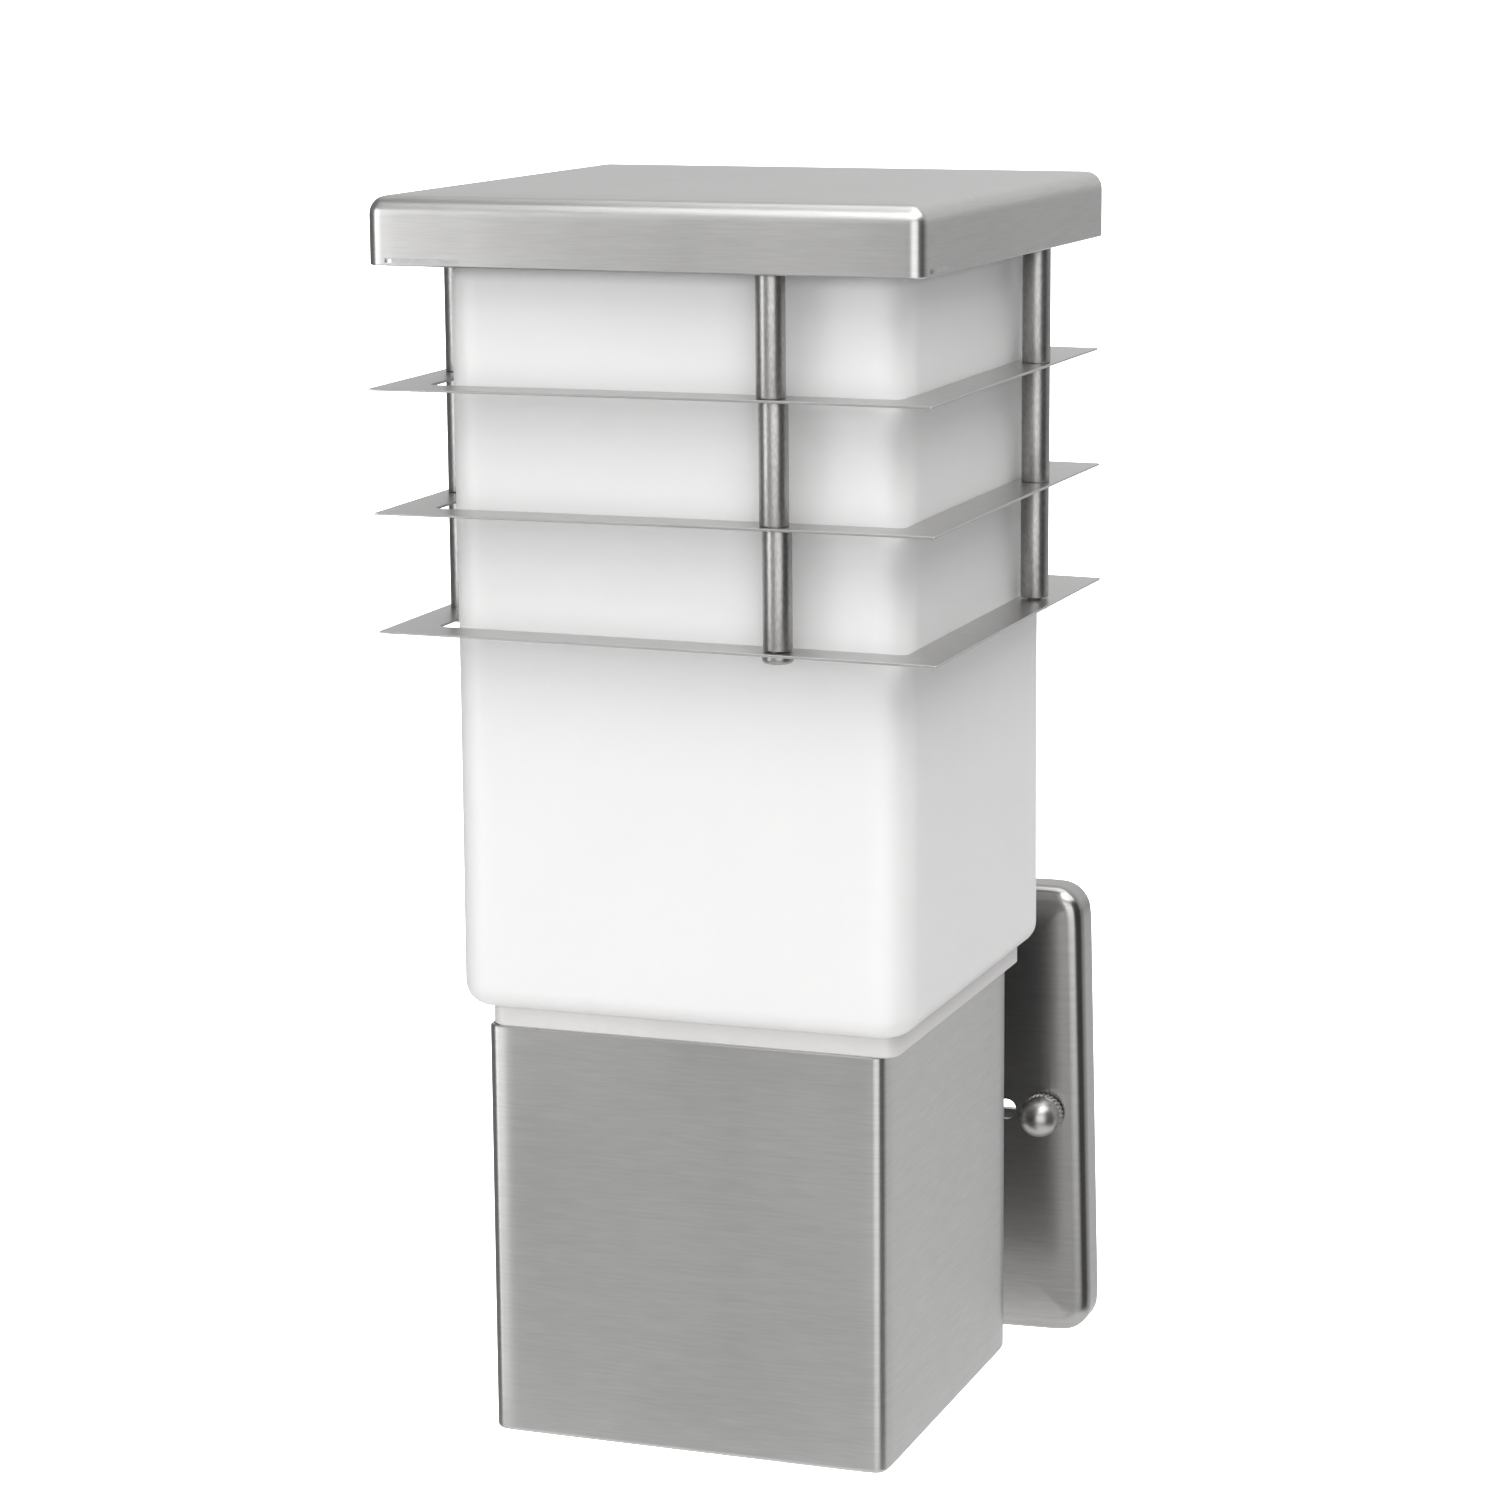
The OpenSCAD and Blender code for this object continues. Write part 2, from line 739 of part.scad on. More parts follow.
module louvre(tier) {
    z = louvre_upper_z - tier * louvre_step;
    color(steel) difference() {
        on_axis() translate([0, 0, z]) linear_extrude(louvre_t)
            round_frame(louvre_w, louvre_w, louvre_out_r, louvre_in_w, louvre_in_w, louvre_in_r);
        at_posts(z - cut) cylinder(r = m4_r + hole_gap, h = louvre_t + 2 * cut);
    }
}

module tubes(tier) {
    z = louvre_upper_z - tier * louvre_step + louvre_t;
    color(dark_steel) at_posts(z) ring(tube_d / 2, m4_r + rod_bore_gap, tube_len);
}

module louvre_upper() {
    louvre(0);
}

module louvre_middle() {
    louvre(1);
}

module louvre_lower() {
    louvre(2);
}

module tubes_upper() {
    tubes(0);
}

module tubes_middle() {
    tubes(1);
}

module tubes_lower() {
    tubes(2);
}

module tie_rods() {
    top_z = cap_plate_z + cap_plate_t + m4_nut_t + rod_over;
    color(steel) at_posts(rod_low_z) cylinder(r = m4_r, h = top_z - rod_low_z);
}

module button_nuts() {
    color(steel) at_posts(button_low_z) difference() {
        rotate_extrude() intersection() {
            translate([0, button_h]) mirror([0, 1]) edge_block(button_d / 2, button_h, button_soft_r, eps);
            square([button_d, button_h]);
        }
        translate([0, 0, button_floor]) cylinder(r = m4_r + thread_gap, h = button_h);
    }
}

module rod_nuts() {
    color(steel) at_posts(cap_plate_z + cap_plate_t) hex_nut(m4_af, m4_r + thread_gap, m4_nut_t);
}

// ---- Glass and its top fixing ----

// Section through a side of the glass body, from its corners' centre line out
module glass_section() {
    difference() {
        pillow_block(glass_r, glass_h, shoulder_r, foot_r);
        translate([0, glass_t]) pillow_block(glass_r - glass_t, glass_h - 2 * glass_t,
            shoulder_r - glass_t, foot_r - glass_t, eps);
    }
}

module glass_shade() {
    neck_in = neck_w - 2 * glass_t;
    flat = glass_w - 2 * glass_r;
    color(opal) on_axis() translate([0, 0, glass_low_z]) difference() {
        union() {
            sweep_round(glass_w, glass_w, glass_r) glass_section();
            for (z = [0, glass_h - glass_t])
                translate([-flat / 2, -flat / 2, z]) cube([flat, flat, glass_t]);
            translate([0, 0, -neck_h]) linear_extrude(neck_h + glass_t / 2)
                round_rect(neck_w, neck_w, neck_r);
        }
        translate([0, 0, -neck_h - cut]) linear_extrude(neck_h + glass_t + 2 * cut)
            round_rect(neck_in, neck_in, neck_r - glass_t);
        translate([0, 0, glass_h - glass_t - cut])
            cylinder(r = m10_r + glass_hole_gap, h = glass_t + 2 * cut);
    }
}

module glass_gasket() {
    color(black) on_axis() translate([0, 0, glass_top_z])
        ring(glass_gasket_r, m10_r + glass_hole_gap, gasket_t);
}

// Underside of the glass's top, where its washers and lower nut are
function under_glass_z() = glass_top_z - glass_t;
function glass_nut_top_z() = under_glass_z() - glass_pad_t - glass_washer_t;

module glass_pad() {
    color(black) on_axis() translate([0, 0, under_glass_z() - glass_pad_t])
        ring(glass_washer_r, m10_r + hole_gap, glass_pad_t);
}

module glass_washer() {
    color(dark_steel) on_axis() translate([0, 0, glass_nut_top_z()])
        ring(glass_washer_r, m10_r + hole_gap, glass_washer_t);
}

module glass_nuts() {
    color(steel) on_axis() for (z = [glass_nut_top_z() - m10_nut_t, cap_plate_z + cap_plate_t])
        translate([0, 0, z]) hex_nut(m10_af, m10_r + thread_gap, m10_nut_t);
}

module glass_nipple() {
    low_z = glass_nut_top_z() - m10_nut_t - nipple_over;
    top_z = cap_plate_z + cap_plate_t + m10_nut_t + nipple_over;
    color(brass) on_axis() translate([0, 0, low_z]) ring(m10_r, glass_nipple_bore_r, top_z - low_z);
}

wall_plate();
plate_gasket();
mounting_bar();
mount_studs();
stud_nuts();
earth_screw();
earth_terminal();
earth_lead();
lead_live();
lead_neutral();
wire_connectors();
arm_tube();
arm_nipple();
arm_nuts();
arm_washers();
base_box();
seal_collar();
clamp_bosses();
holder_bracket();
holder_body();
holder_shell();
holder_contact();
holder_screws();
knob_washer_left();
knob_washer_right();
knob_nut_left();
knob_nut_right();
clamp_tip_left();
clamp_tip_right();
clamp_screw_left();
clamp_screw_right();
lamp_contact();
lamp_insulator();
lamp_cap();
lamp_globe();
cap();
cap_plate();
louvre_upper();
louvre_middle();
louvre_lower();
tubes_upper();
tubes_middle();
tubes_lower();
tie_rods();
button_nuts();
rod_nuts();
glass_shade();
glass_gasket();
glass_nipple();
glass_nuts();
glass_pad();
glass_washer();
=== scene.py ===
"""Outdoor wall lantern: the visible pieces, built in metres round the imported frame.

Each sub-assembly is a class that holds its sizes and makes its own pieces. Each finish is a frozen
dataclass that builds one procedural material. What repeats, or follows a rule or a route, is made
by a geometry node tree.
"""

import logging
import math
from dataclasses import dataclass
from enum import Enum
from typing import Callable, Sequence

import bmesh
import bpy
from mathutils import Matrix, Vector


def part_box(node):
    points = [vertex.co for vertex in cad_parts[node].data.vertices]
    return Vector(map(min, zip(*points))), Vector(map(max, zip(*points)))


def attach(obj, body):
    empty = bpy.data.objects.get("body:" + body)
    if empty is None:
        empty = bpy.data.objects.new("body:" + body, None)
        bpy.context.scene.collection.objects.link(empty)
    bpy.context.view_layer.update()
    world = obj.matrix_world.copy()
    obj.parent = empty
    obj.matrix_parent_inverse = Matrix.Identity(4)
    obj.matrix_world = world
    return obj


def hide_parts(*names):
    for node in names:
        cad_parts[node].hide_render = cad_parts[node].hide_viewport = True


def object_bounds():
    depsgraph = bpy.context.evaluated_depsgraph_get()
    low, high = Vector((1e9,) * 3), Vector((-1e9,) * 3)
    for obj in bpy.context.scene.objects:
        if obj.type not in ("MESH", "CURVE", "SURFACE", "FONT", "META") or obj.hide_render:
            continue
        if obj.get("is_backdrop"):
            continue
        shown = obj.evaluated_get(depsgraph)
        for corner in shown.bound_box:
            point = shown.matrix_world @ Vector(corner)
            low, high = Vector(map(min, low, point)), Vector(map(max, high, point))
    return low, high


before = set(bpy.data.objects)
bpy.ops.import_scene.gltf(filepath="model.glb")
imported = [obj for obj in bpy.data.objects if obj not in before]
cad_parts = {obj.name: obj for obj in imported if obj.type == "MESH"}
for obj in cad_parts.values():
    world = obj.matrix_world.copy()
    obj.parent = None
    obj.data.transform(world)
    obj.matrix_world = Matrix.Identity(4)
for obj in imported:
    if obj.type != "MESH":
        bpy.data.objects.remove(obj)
CAD_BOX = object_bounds()

LOG = logging.getLogger("lantern")
MM = 0.001
TAU = 2 * math.pi
PIN = 0.001 * MM
M4_RADIUS = 2.0 * MM
M4_PITCH = 0.7 * MM
M4_BORE = 2.02 * MM
FINE_PITCH = 1.0 * MM
FINE_DEPTH = 0.5 * MM
LAMP_PITCH = 3.629 * MM
ARM_BORE = 6.65 * MM
GRAIN_MAP = "Grain"
WALL_BODY = "wall_body"
HEAD = "head"


# ---- Nodes ----


class Value:
    """A socket that takes part in arithmetic: each operator adds one Math node."""

    def __init__(self, graph: "Graph", socket: bpy.types.NodeSocket) -> None:
        """Wraps a socket.

        Args:
            graph: The graph that new nodes are added to.
            socket: The output socket that carries the number.
        """
        self.graph = graph
        self.socket = socket

    def math(self, operation: str, *others: "Value | float") -> "Value":
        """Adds a Math node whose first operand is this value.

        Args:
            operation: The node's operation.
            others: The operands after the first.

        Returns:
            The node's result.
        """
        operands = dict(enumerate((self, *others)))
        kind = "ShaderNodeMath"
        return self.graph.out(self.graph.node(kind, {"operation": operation}, operands))

    def __add__(self, other: "Value | float") -> "Value":
        """Returns self + other."""
        return self.math("ADD", other)

    def __radd__(self, other: float) -> "Value":
        """Returns other + self."""
        return self.math("ADD", other)

    def __sub__(self, other: "Value | float") -> "Value":
        """Returns self - other."""
        return self.math("SUBTRACT", other)

    def __rsub__(self, other: float) -> "Value":
        """Returns other - self."""
        return self.math("MULTIPLY", -1.0) + other

    def __mul__(self, other: "Value | float") -> "Value":
        """Returns self * other."""
        return self.math("MULTIPLY", other)

    def __rmul__(self, other: float) -> "Value":
        """Returns other * self."""
        return self.math("MULTIPLY", other)

    def __truediv__(self, other: "Value | float") -> "Value":
        """Returns self / other."""
        return self.math("DIVIDE", other)


class Graph:
    """Adds nodes to one node tree."""

    def __init__(self, tree: bpy.types.NodeTree) -> None:
        """Keeps the tree that nodes go into."""
        self.tree = tree

    def node(
        self,
        kind: str,
        settings: dict[str, object] | None = None,
        sockets: dict[int | str, object] | None = None,
    ) -> bpy.types.Node:
        """Adds one node, sets it up and joins its inputs.

        Args:
            kind: The node's type.
            settings: Attributes set first; "stops" holds a colour ramp's (position, grey) pairs.
            sockets: Inputs by name or number: a Value or socket to join, or a plain value.

        Returns:
            The new node.
        """
        node = self.tree.nodes.new(kind)
        for key, value in (settings or {}).items():
            if key == "stops":
                self.ramp_stops(node, value)
            else:
                setattr(node, key, value)
        for key, value in (sockets or {}).items():
            source = value.socket if isinstance(value, Value) else value
            if isinstance(source, bpy.types.NodeSocket):
                self.tree.links.new(source, node.inputs[key])
            else:
                node.inputs[key].default_value = source
        return node

    @staticmethod
    def ramp_stops(node: bpy.types.Node, stops: Sequence[tuple[float, float]]) -> None:
        """Gives a colour ramp its grey stops.

        Args:
            node: The colour ramp node.
            stops: Pairs of position and grey level, in order.
        """
        elements = node.color_ramp.elements
        while len(elements) < len(stops):
            elements.new(0.5)
        for element, (position, grey) in zip(elements, stops):
            element.position = position
            element.color = (grey, grey, grey, 1.0)

    def out(self, node: bpy.types.Node, name: int | str = 0) -> Value:
        """Returns one of a node's outputs as a Value."""
        return Value(self, node.outputs[name])

    def noise(self, vector: Value, scale: float, detail: float = 2.0) -> Value:
        """Adds a noise texture.

        Args:
            vector: The coordinates to read.
            scale: Features per unit of those coordinates.
            detail: Octaves of finer noise.

        Returns:
            The noise, about 0 to 1.
        """
        sockets = {"Vector": vector, "Scale": scale, "Detail": detail}
        return self.out(self.node("ShaderNodeTexNoise", None, sockets), "Fac")

    def spread(
        self, source: Value, low: float, high: float, start: float = 0.2, end: float = 0.8
    ) -> Value:
        """Maps a value from start..end onto low..high, with soft ends.

        Args:
            source: The value to map.
            low: Result at start.
            high: Result at end.
            start: Source value that gives low.
            end: Source value that gives high.

        Returns:
            The mapped value.
        """
        sockets = {"Value": source, "From Min": start, "From Max": end, "To Min": low, "To Max": high}
        settings = {"interpolation_type": "SMOOTHSTEP"}
        return self.out(self.node("ShaderNodeMapRange", settings, sockets))

    def blend(self, factor: Value, first: object, second: object) -> Value:
        """Mixes two colours.

        Args:
            factor: 0 for the first colour, 1 for the second.
            first: A colour, or a Value that carries one.
            second: A colour, or a Value that carries one.

        Returns:
            The mixed colour.
        """
        sockets = {0: factor, 6: first, 7: second}
        return self.out(self.node("ShaderNodeMix", {"data_type": "RGBA"}, sockets), 2)

    def scaled(self, vector: Value, scale: tuple[float, float, float]) -> Value:
        """Returns a vector with each part multiplied by a number of its own."""
        sockets = {0: vector, 1: scale}
        return self.out(self.node("ShaderNodeVectorMath", {"operation": "MULTIPLY"}, sockets))


# ---- Finishes ----


def rgba(colour: Sequence[float], gain: float = 1.0) -> tuple[float, float, float, float]:
    """Returns a colour with its alpha, made lighter or darker by a gain."""
    return (*(min(1.0, part * gain) for part in colour), 1.0)


@dataclass(frozen=True)
class Finish:
    """One procedural surface.

    Attributes:
        slot: The record's material slot that it stands for.
        colour: Its middle colour, linear.
        roughness: Its middle roughness.
        variation: How far the colour swings to either side, as a share.
        variant: Ending that tells apart two finishes of one slot.
    """

    slot: str
    colour: tuple[float, float, float]
    roughness: float
    variation: float = 0.08
    variant: str = ""

    def material(self) -> bpy.types.Material:
        """Builds the finish's material the first time, and finds it again after that.

        Returns:
            The material.
        """
        name = "finish_" + self.slot + self.variant
        found = bpy.data.materials.get(name)
        if found:
            return found
        material = bpy.data.materials.new(name)
        material.use_nodes = True
        shader = material.node_tree.nodes["Principled BSDF"]
        self.paint(Graph(material.node_tree), shader)
        return material

    def paint(self, graph: Graph, shader: bpy.types.Node) -> None:
        """Joins the finish's patterns to the shader.

        Args:
            graph: Where the nodes go.
            shader: The Principled BSDF to feed.
        """
        raise NotImplementedError

    def feed(
        self,
        graph: Graph,
        shader: bpy.types.Node,
        tone: Value,
        rough: Value,
        height: Value,
        bump: tuple[float, float],
    ) -> None:
        """Feeds colour, roughness and bump from three patterns.

        Args:
            graph: Where the nodes go.
            shader: The Principled BSDF to feed.
            tone: 0 where the colour is darkest, 1 where it is lightest.
            rough: The roughness itself.
            height: The height that makes the bump.
            bump: The bump's strength, and its depth in metres.
        """
        dark = rgba(self.colour, 1 - self.variation)
        light = rgba(self.colour, 1 + self.variation)
        tree = graph.tree
        tree.links.new(graph.blend(tone, dark, light).socket, shader.inputs["Base Color"])
        tree.links.new(rough.socket, shader.inputs["Roughness"])
        strength, depth = bump
        sockets = {"Strength": strength, "Distance": depth, "Height": height}
        node = graph.node("ShaderNodeBump", None, sockets)
        tree.links.new(node.outputs["Normal"], shader.inputs["Normal"])

    @staticmethod
    def constants(shader: bpy.types.Node, values: dict[str, object]) -> None:
        """Sets the shader's sockets that are the same all over."""
        for name, value in values.items():
            shader.inputs[name].default_value = value


@dataclass(frozen=True)
class GrainedMetal(Finish):
    """Sheet or tube with a brushed or drawn grain along the U of its grain map.

    Attributes:
        fine: Grain lines in a metre, across the grain.
        length: Changes in a metre, along the grain.
        stretch: How far reflections draw out across the grain, 0 to 1.
        depth: Depth of the grain in metres.
    """

    fine: float = 1700.0
    length: float = 110.0
    stretch: float = 0.7
    depth: float = 0.000005

    def paint(self, graph: Graph, shader: bpy.types.Node) -> None:
        """Joins fine grain, longer streaks and soft clouds to the shader.

        Args:
            graph: Where the nodes go.
            shader: The Principled BSDF to feed.
        """
        grain_map = graph.out(graph.node("ShaderNodeUVMap", {"uv_map": GRAIN_MAP}))
        fine = graph.noise(graph.scaled(grain_map, (self.length, self.fine, 1)), 1.0, 1.0)
        streak = graph.noise(graph.scaled(grain_map, (self.length / 4, self.fine / 4, 1)), 1.0, 1.0)
        cloud = graph.noise(graph.scaled(grain_map, (24, 14, 1)), 1.0, 2.0)
        tone = graph.spread(fine * 0.55 + streak * 0.25 + cloud * 0.2, 0.0, 1.0)
        rough = graph.spread(cloud, self.roughness - 0.02, self.roughness + 0.03)
        brushing = {"Anisotropic": self.stretch, "Anisotropic Rotation": 0.25}
        self.constants(shader, {"Metallic": 1.0, **brushing})
        self.feed(graph, shader, tone, rough, fine, (0.5, self.depth))


@dataclass(frozen=True)
class SpeckledMetal(Finish):
    """Plated, cast or polished metal with fine specks and soft clouds.

    Attributes:
        speck: Specks in a metre.
        depth: Depth of the specks in metres.
    """

    speck: float = 1500.0
    depth: float = 0.00001

    def paint(self, graph: Graph, shader: bpy.types.Node) -> None:
        """Joins specks and clouds on object coordinates to the shader.

        Args:
            graph: Where the nodes go.
            shader: The Principled BSDF to feed.
        """
        place = graph.out(graph.node("ShaderNodeTexCoord"), "Object")
        speck = graph.noise(place, self.speck, 2.0)
        cloud = graph.noise(place, self.speck / 12, 3.0)
        tone = graph.spread(speck * 0.4 + cloud * 0.6, 0.0, 1.0)
        rough = graph.spread(cloud, self.roughness - 0.03, self.roughness + 0.04)
        self.constants(shader, {"Metallic": 1.0})
        self.feed(graph, shader, tone, rough, speck, (0.4, self.depth))


@dataclass(frozen=True)
class SoftBody(Finish):
    """Glass, silicone, rubber, ceramic or plastic.

    Attributes:
        speck: Features in a metre of the surface's texture.
        depth: Depth of the texture in metres.
        inner: Share of the light that travels inside.
        reach: How far that light travels, in metres.
        coat: Weight of a clear glaze.
    """

    speck: float = 900.0
    depth: float = 0.00001
    inner: float = 0.0
    reach: float = 0.002
    coat: float = 0.0

    def paint(self, graph: Graph, shader: bpy.types.Node) -> None:
        """Joins texture and clouds on object coordinates to the shader.

        Args:
            graph: Where the nodes go.
            shader: The Principled BSDF to feed.
        """
        place = graph.out(graph.node("ShaderNodeTexCoord"), "Object")
        speck = graph.noise(place, self.speck, 3.0)
        cloud = graph.noise(place, 28.0, 2.0)
        tone = graph.spread(speck * 0.25 + cloud * 0.75, 0.0, 1.0)
        rough = graph.spread(speck * 0.4 + cloud * 0.6, self.roughness - 0.05, self.roughness + 0.06)
        self.constants(shader, {
            "Subsurface Weight": self.inner,
            "Subsurface Scale": self.reach,
            "Subsurface Radius": (1.0, 0.95, 0.9),
            "Coat Weight": self.coat,
            "IOR": 1.47,
        })
        self.feed(graph, shader, tone, rough, speck, (0.5, self.depth))


STEEL = (0.50, 0.497, 0.492)
BRUSHED = GrainedMetal("brushed_steel", STEEL, 0.32, 0.08)
PRESSED = GrainedMetal("brushed_steel", STEEL, 0.31, 0.08, "_pressed", stretch=0.0, depth=0.000009)
# Painted shade: a darker copy of the brushed steel for the wall plate, standing in for the shadow and the
# dark box back that the plate reflects.
PLATE_SHADE_STEEL = GrainedMetal("brushed_steel", (0.37, 0.365, 0.36), 0.23, 0.08, "_painted_shade", stretch=0.25)
TURNED = GrainedMetal(
    "turned_steel", (0.35, 0.345, 0.34), 0.34, 0.24, fine=2300.0, length=650.0, stretch=0.0
)
POLISHED = SpeckledMetal(
    "polished_steel", (0.40, 0.39, 0.385), 0.33, 0.06, speck=2500.0, depth=0.000004
)
ZINC = SpeckledMetal("zinc_steel", (0.50, 0.52, 0.52), 0.34, 0.14, speck=700.0)
BRASS = SpeckledMetal("brass", (0.62, 0.44, 0.17), 0.32, 0.12, speck=600.0)
OPAL = SoftBody(
    "opal_glass", (0.94, 0.914, 0.895), 0.42, 0.012, speck=2600.0, depth=0.000006, inner=0.65, reach=0.011
)
LAMP_GLASS = SoftBody(
    "lamp_glass", (0.90, 0.90, 0.89), 0.24, 0.01, speck=1800.0, depth=0.000004, inner=0.3
)
SILICONE = SoftBody(
    "silicone", (0.69, 0.675, 0.67), 0.34, 0.05, speck=420.0, depth=0.00003, inner=0.35, reach=0.003
)
RUBBER = SoftBody("black_rubber", (0.020, 0.020, 0.021), 0.62, 0.25, speck=1400.0, depth=0.00006)
PORCELAIN = SoftBody(
    "porcelain", (0.80, 0.78, 0.72), 0.30, 0.03, speck=500.0, depth=0.000015, inner=0.1, coat=0.7
)
BLACK_LEAD = SoftBody("black_insulation", (0.018, 0.018, 0.019), 0.38, 0.2, speck=1300.0)
WHITE_LEAD = SoftBody("white_insulation", (0.74, 0.74, 0.71), 0.38, 0.05, speck=1300.0)
GREEN_LEAD = SoftBody("green_insulation", (0.045, 0.26, 0.07), 0.38, 0.12, speck=1300.0)
CONNECTOR = SoftBody("connector_plastic", (0.78, 0.24, 0.03), 0.42, 0.08, speck=1100.0)
NYLON = SoftBody("nylon", (0.72, 0.71, 0.66), 0.42, 0.04, speck=900.0, inner=0.2)
LAMP_BLACK = SoftBody("lamp_black", (0.012, 0.012, 0.014), 0.2, 0.2, speck=900.0, coat=0.4)


# ---- Mesh building ----


class Facing(Enum):
    """Which way a piece built pointing up is turned."""

    UP = Matrix.Identity(4)
    DOWN = Matrix.Rotation(math.pi, 4, "X")
    OUT = Matrix.Rotation(math.pi / 2, 4, "X")
    IN = Matrix.Rotation(-math.pi / 2, 4, "X")

    def at(self, place: Sequence[float]) -> Matrix:
        """Returns the matrix that turns a piece this way and stands it at a place."""
        return Matrix.Translation(Vector(place)) @ self.value


def middle(node: str) -> Vector:
    """Returns the middle of a CAD node's box."""
    low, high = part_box(node)
    return (low + high) / 2


AXIS = middle("cap").to_2d()
ROUND_STEPS = 8
ROLL_START = 0.91
SIDE_SHARES = (
    -0.985, -0.965, -0.94, -0.91, -0.8, -0.5, 0.0, 0.5, 0.8, 0.91, 0.94, 0.965, 0.985, 1.0,
)


@dataclass(frozen=True)
class Loop:
    """A level rectangle with round corners.

    Attributes:
        half: Half its width and depth.
        radius: Radius of its corners.
        z: Its height.
    """

    half: tuple[float, float]
    radius: float
    z: float

    def points(self, roll: float = 0.0) -> list[Vector]:
        """Returns points round the loop, always the same number.

        Args:
            roll: How far the sides stand back where they meet the corners.

        Returns:
            The points, counter-clockwise from above.
        """
        half_x, half_y = self.half
        radius = min(self.radius, half_x, half_y)
        points = []
        for quarter in range(4):
            turn = Matrix.Rotation(quarter * TAU / 4, 3, "Z")
            reach, run = (half_x, half_y) if quarter % 2 == 0 else (half_y, half_x)
            flat = run - radius
            for share in SIDE_SHARES:
                back = roll * max(0.0, (abs(share) - ROLL_START) / (1 - ROLL_START)) ** 2
                points.append(turn @ Vector((reach - back, share * flat, self.z)))
            for step in range(1, ROUND_STEPS + 1):
                angle = step / ROUND_STEPS * TAU / 4
                x = reach - radius + (radius - roll) * math.cos(angle)
                y = flat + (radius - roll) * math.sin(angle)
                points.append(turn @ Vector((x, y, self.z)))
        return points


def circle(radius: float, z: float, steps: int) -> list[Vector]:
    """Returns a level circle's points, round the upright axis."""
    turns = [k / steps * TAU for k in range(steps)]
    return [Vector((radius * math.cos(a), radius * math.sin(a), z)) for a in turns]


class Solid:
    """A mesh under construction, made of rings of points joined into skins."""

    def __init__(self) -> None:
        """Starts an empty mesh."""
        self.bm = bmesh.new()

    def ring(self, points: Sequence[Vector]) -> list[bmesh.types.BMVert]:
        """Adds a ring of points and returns its vertices."""
        return [self.bm.verts.new(point) for point in points]

    def square_rings(
        self, sizes: Sequence[tuple[float, float, float]]
    ) -> list[list[bmesh.types.BMVert]]:
        """Adds rings that are squares with round corners.

        Args:
            sizes: Half width, corner radius and height of each.

        Returns:
            Each ring's vertices.
        """
        return [self.ring(Loop((half, half), corner, z).points()) for half, corner, z in sizes]

    def skin(self, rings: Sequence[list[bmesh.types.BMVert]], closed: bool = False) -> "Solid":
        """Joins rings, one to the next, with quads.

        Args:
            rings: Rings of the same number of vertices.
            closed: Whether the last ring joins the first; otherwise both ends are filled.

        Returns:
            This solid.
        """
        pairs = list(zip(rings, rings[1:])) + ([(rings[-1], rings[0])] if closed else [])
        for lower, upper in pairs:
            count = len(lower)
            for k in range(count):
                after = (k + 1) % count
                self.bm.faces.new((lower[k], lower[after], upper[after], upper[k]))
        if not closed:
            self.bm.faces.new(rings[0][::-1])
            self.bm.faces.new(rings[-1])
        return self

    def lathe(
        self, profile: Sequence[tuple[float, float]], steps: int = 48, closed: bool = False
    ) -> "Solid":
        """Turns a profile round the upright axis.

        Args:
            profile: Radius and height of each point, in order.
            steps: Points round each ring.
            closed: Whether the profile closes on itself, as a ring's or a tube's does.

        Returns:
            This solid.
        """
        rings = [self.ring(circle(radius, z, steps)) for radius, z in profile]
        return self.skin(rings, closed)

    def prism(self, outline: Sequence[tuple[float, float]], low: float, high: float) -> "Solid":
        """Stands a flat outline up between two heights."""
        return self.skin([self.ring([Vector((x, y, z)) for x, y in outline]) for z in (low, high)])

    def move(self, change: Callable[[Vector], Vector]) -> "Solid":
        """Moves every point by a rule.

        Args:
            change: Gives a point's new place.

        Returns:
            This solid.
        """
        for vert in self.bm.verts:
            vert.co = change(vert.co)
        return self

    def mesh(self, place: Matrix | None = None) -> bpy.types.Mesh:
        """Closes the work: merges doubles, turns faces outwards and moves the mesh into place.

        Args:
            place: Where the solid goes.

        Returns:
            The finished mesh.
        """
        bmesh.ops.remove_doubles(self.bm, verts=self.bm.verts, dist=1e-7)
        bmesh.ops.recalc_face_normals(self.bm, faces=self.bm.faces)
        mesh = bpy.data.meshes.new("solid")
        self.bm.to_mesh(mesh)
        self.bm.free()
        if place is not None:
            mesh.transform(place)
        return mesh


def arc(
    centre: tuple[float, float], radius: float, start: float, end: float, steps: int
) -> list[tuple[float, float]]:
    """Returns points along an arc.

    Args:
        centre: The arc's centre.
        radius: Its radius.
        start: Its first angle in degrees.
        end: Its last angle in degrees.
        steps: Steps between the two.

    Returns:
        The points, both ends included.
    """
    turns = [math.radians(start + (end - start) * k / steps) for k in range(steps + 1)]
    return [(centre[0] + radius * math.cos(a), centre[1] + radius * math.sin(a)) for a in turns]


def plug(radius: float, low: float, high: float, steps: int = 48) -> Solid:
    """Returns a plain cylinder between two heights, for cutting a round hole."""
    return Solid().lathe([(radius, low), (radius, high)], steps)


def join(meshes: Sequence[bpy.types.Mesh]) -> bpy.types.Mesh:
    """Joins meshes into the first one.

    Args:
        meshes: The meshes.

    Returns:
        The first mesh, which now holds them all.
    """
    bm = bmesh.new()
    for mesh in meshes:
        bm.from_mesh(mesh)
    bm.to_mesh(meshes[0])
    bm.free()
    return meshes[0]


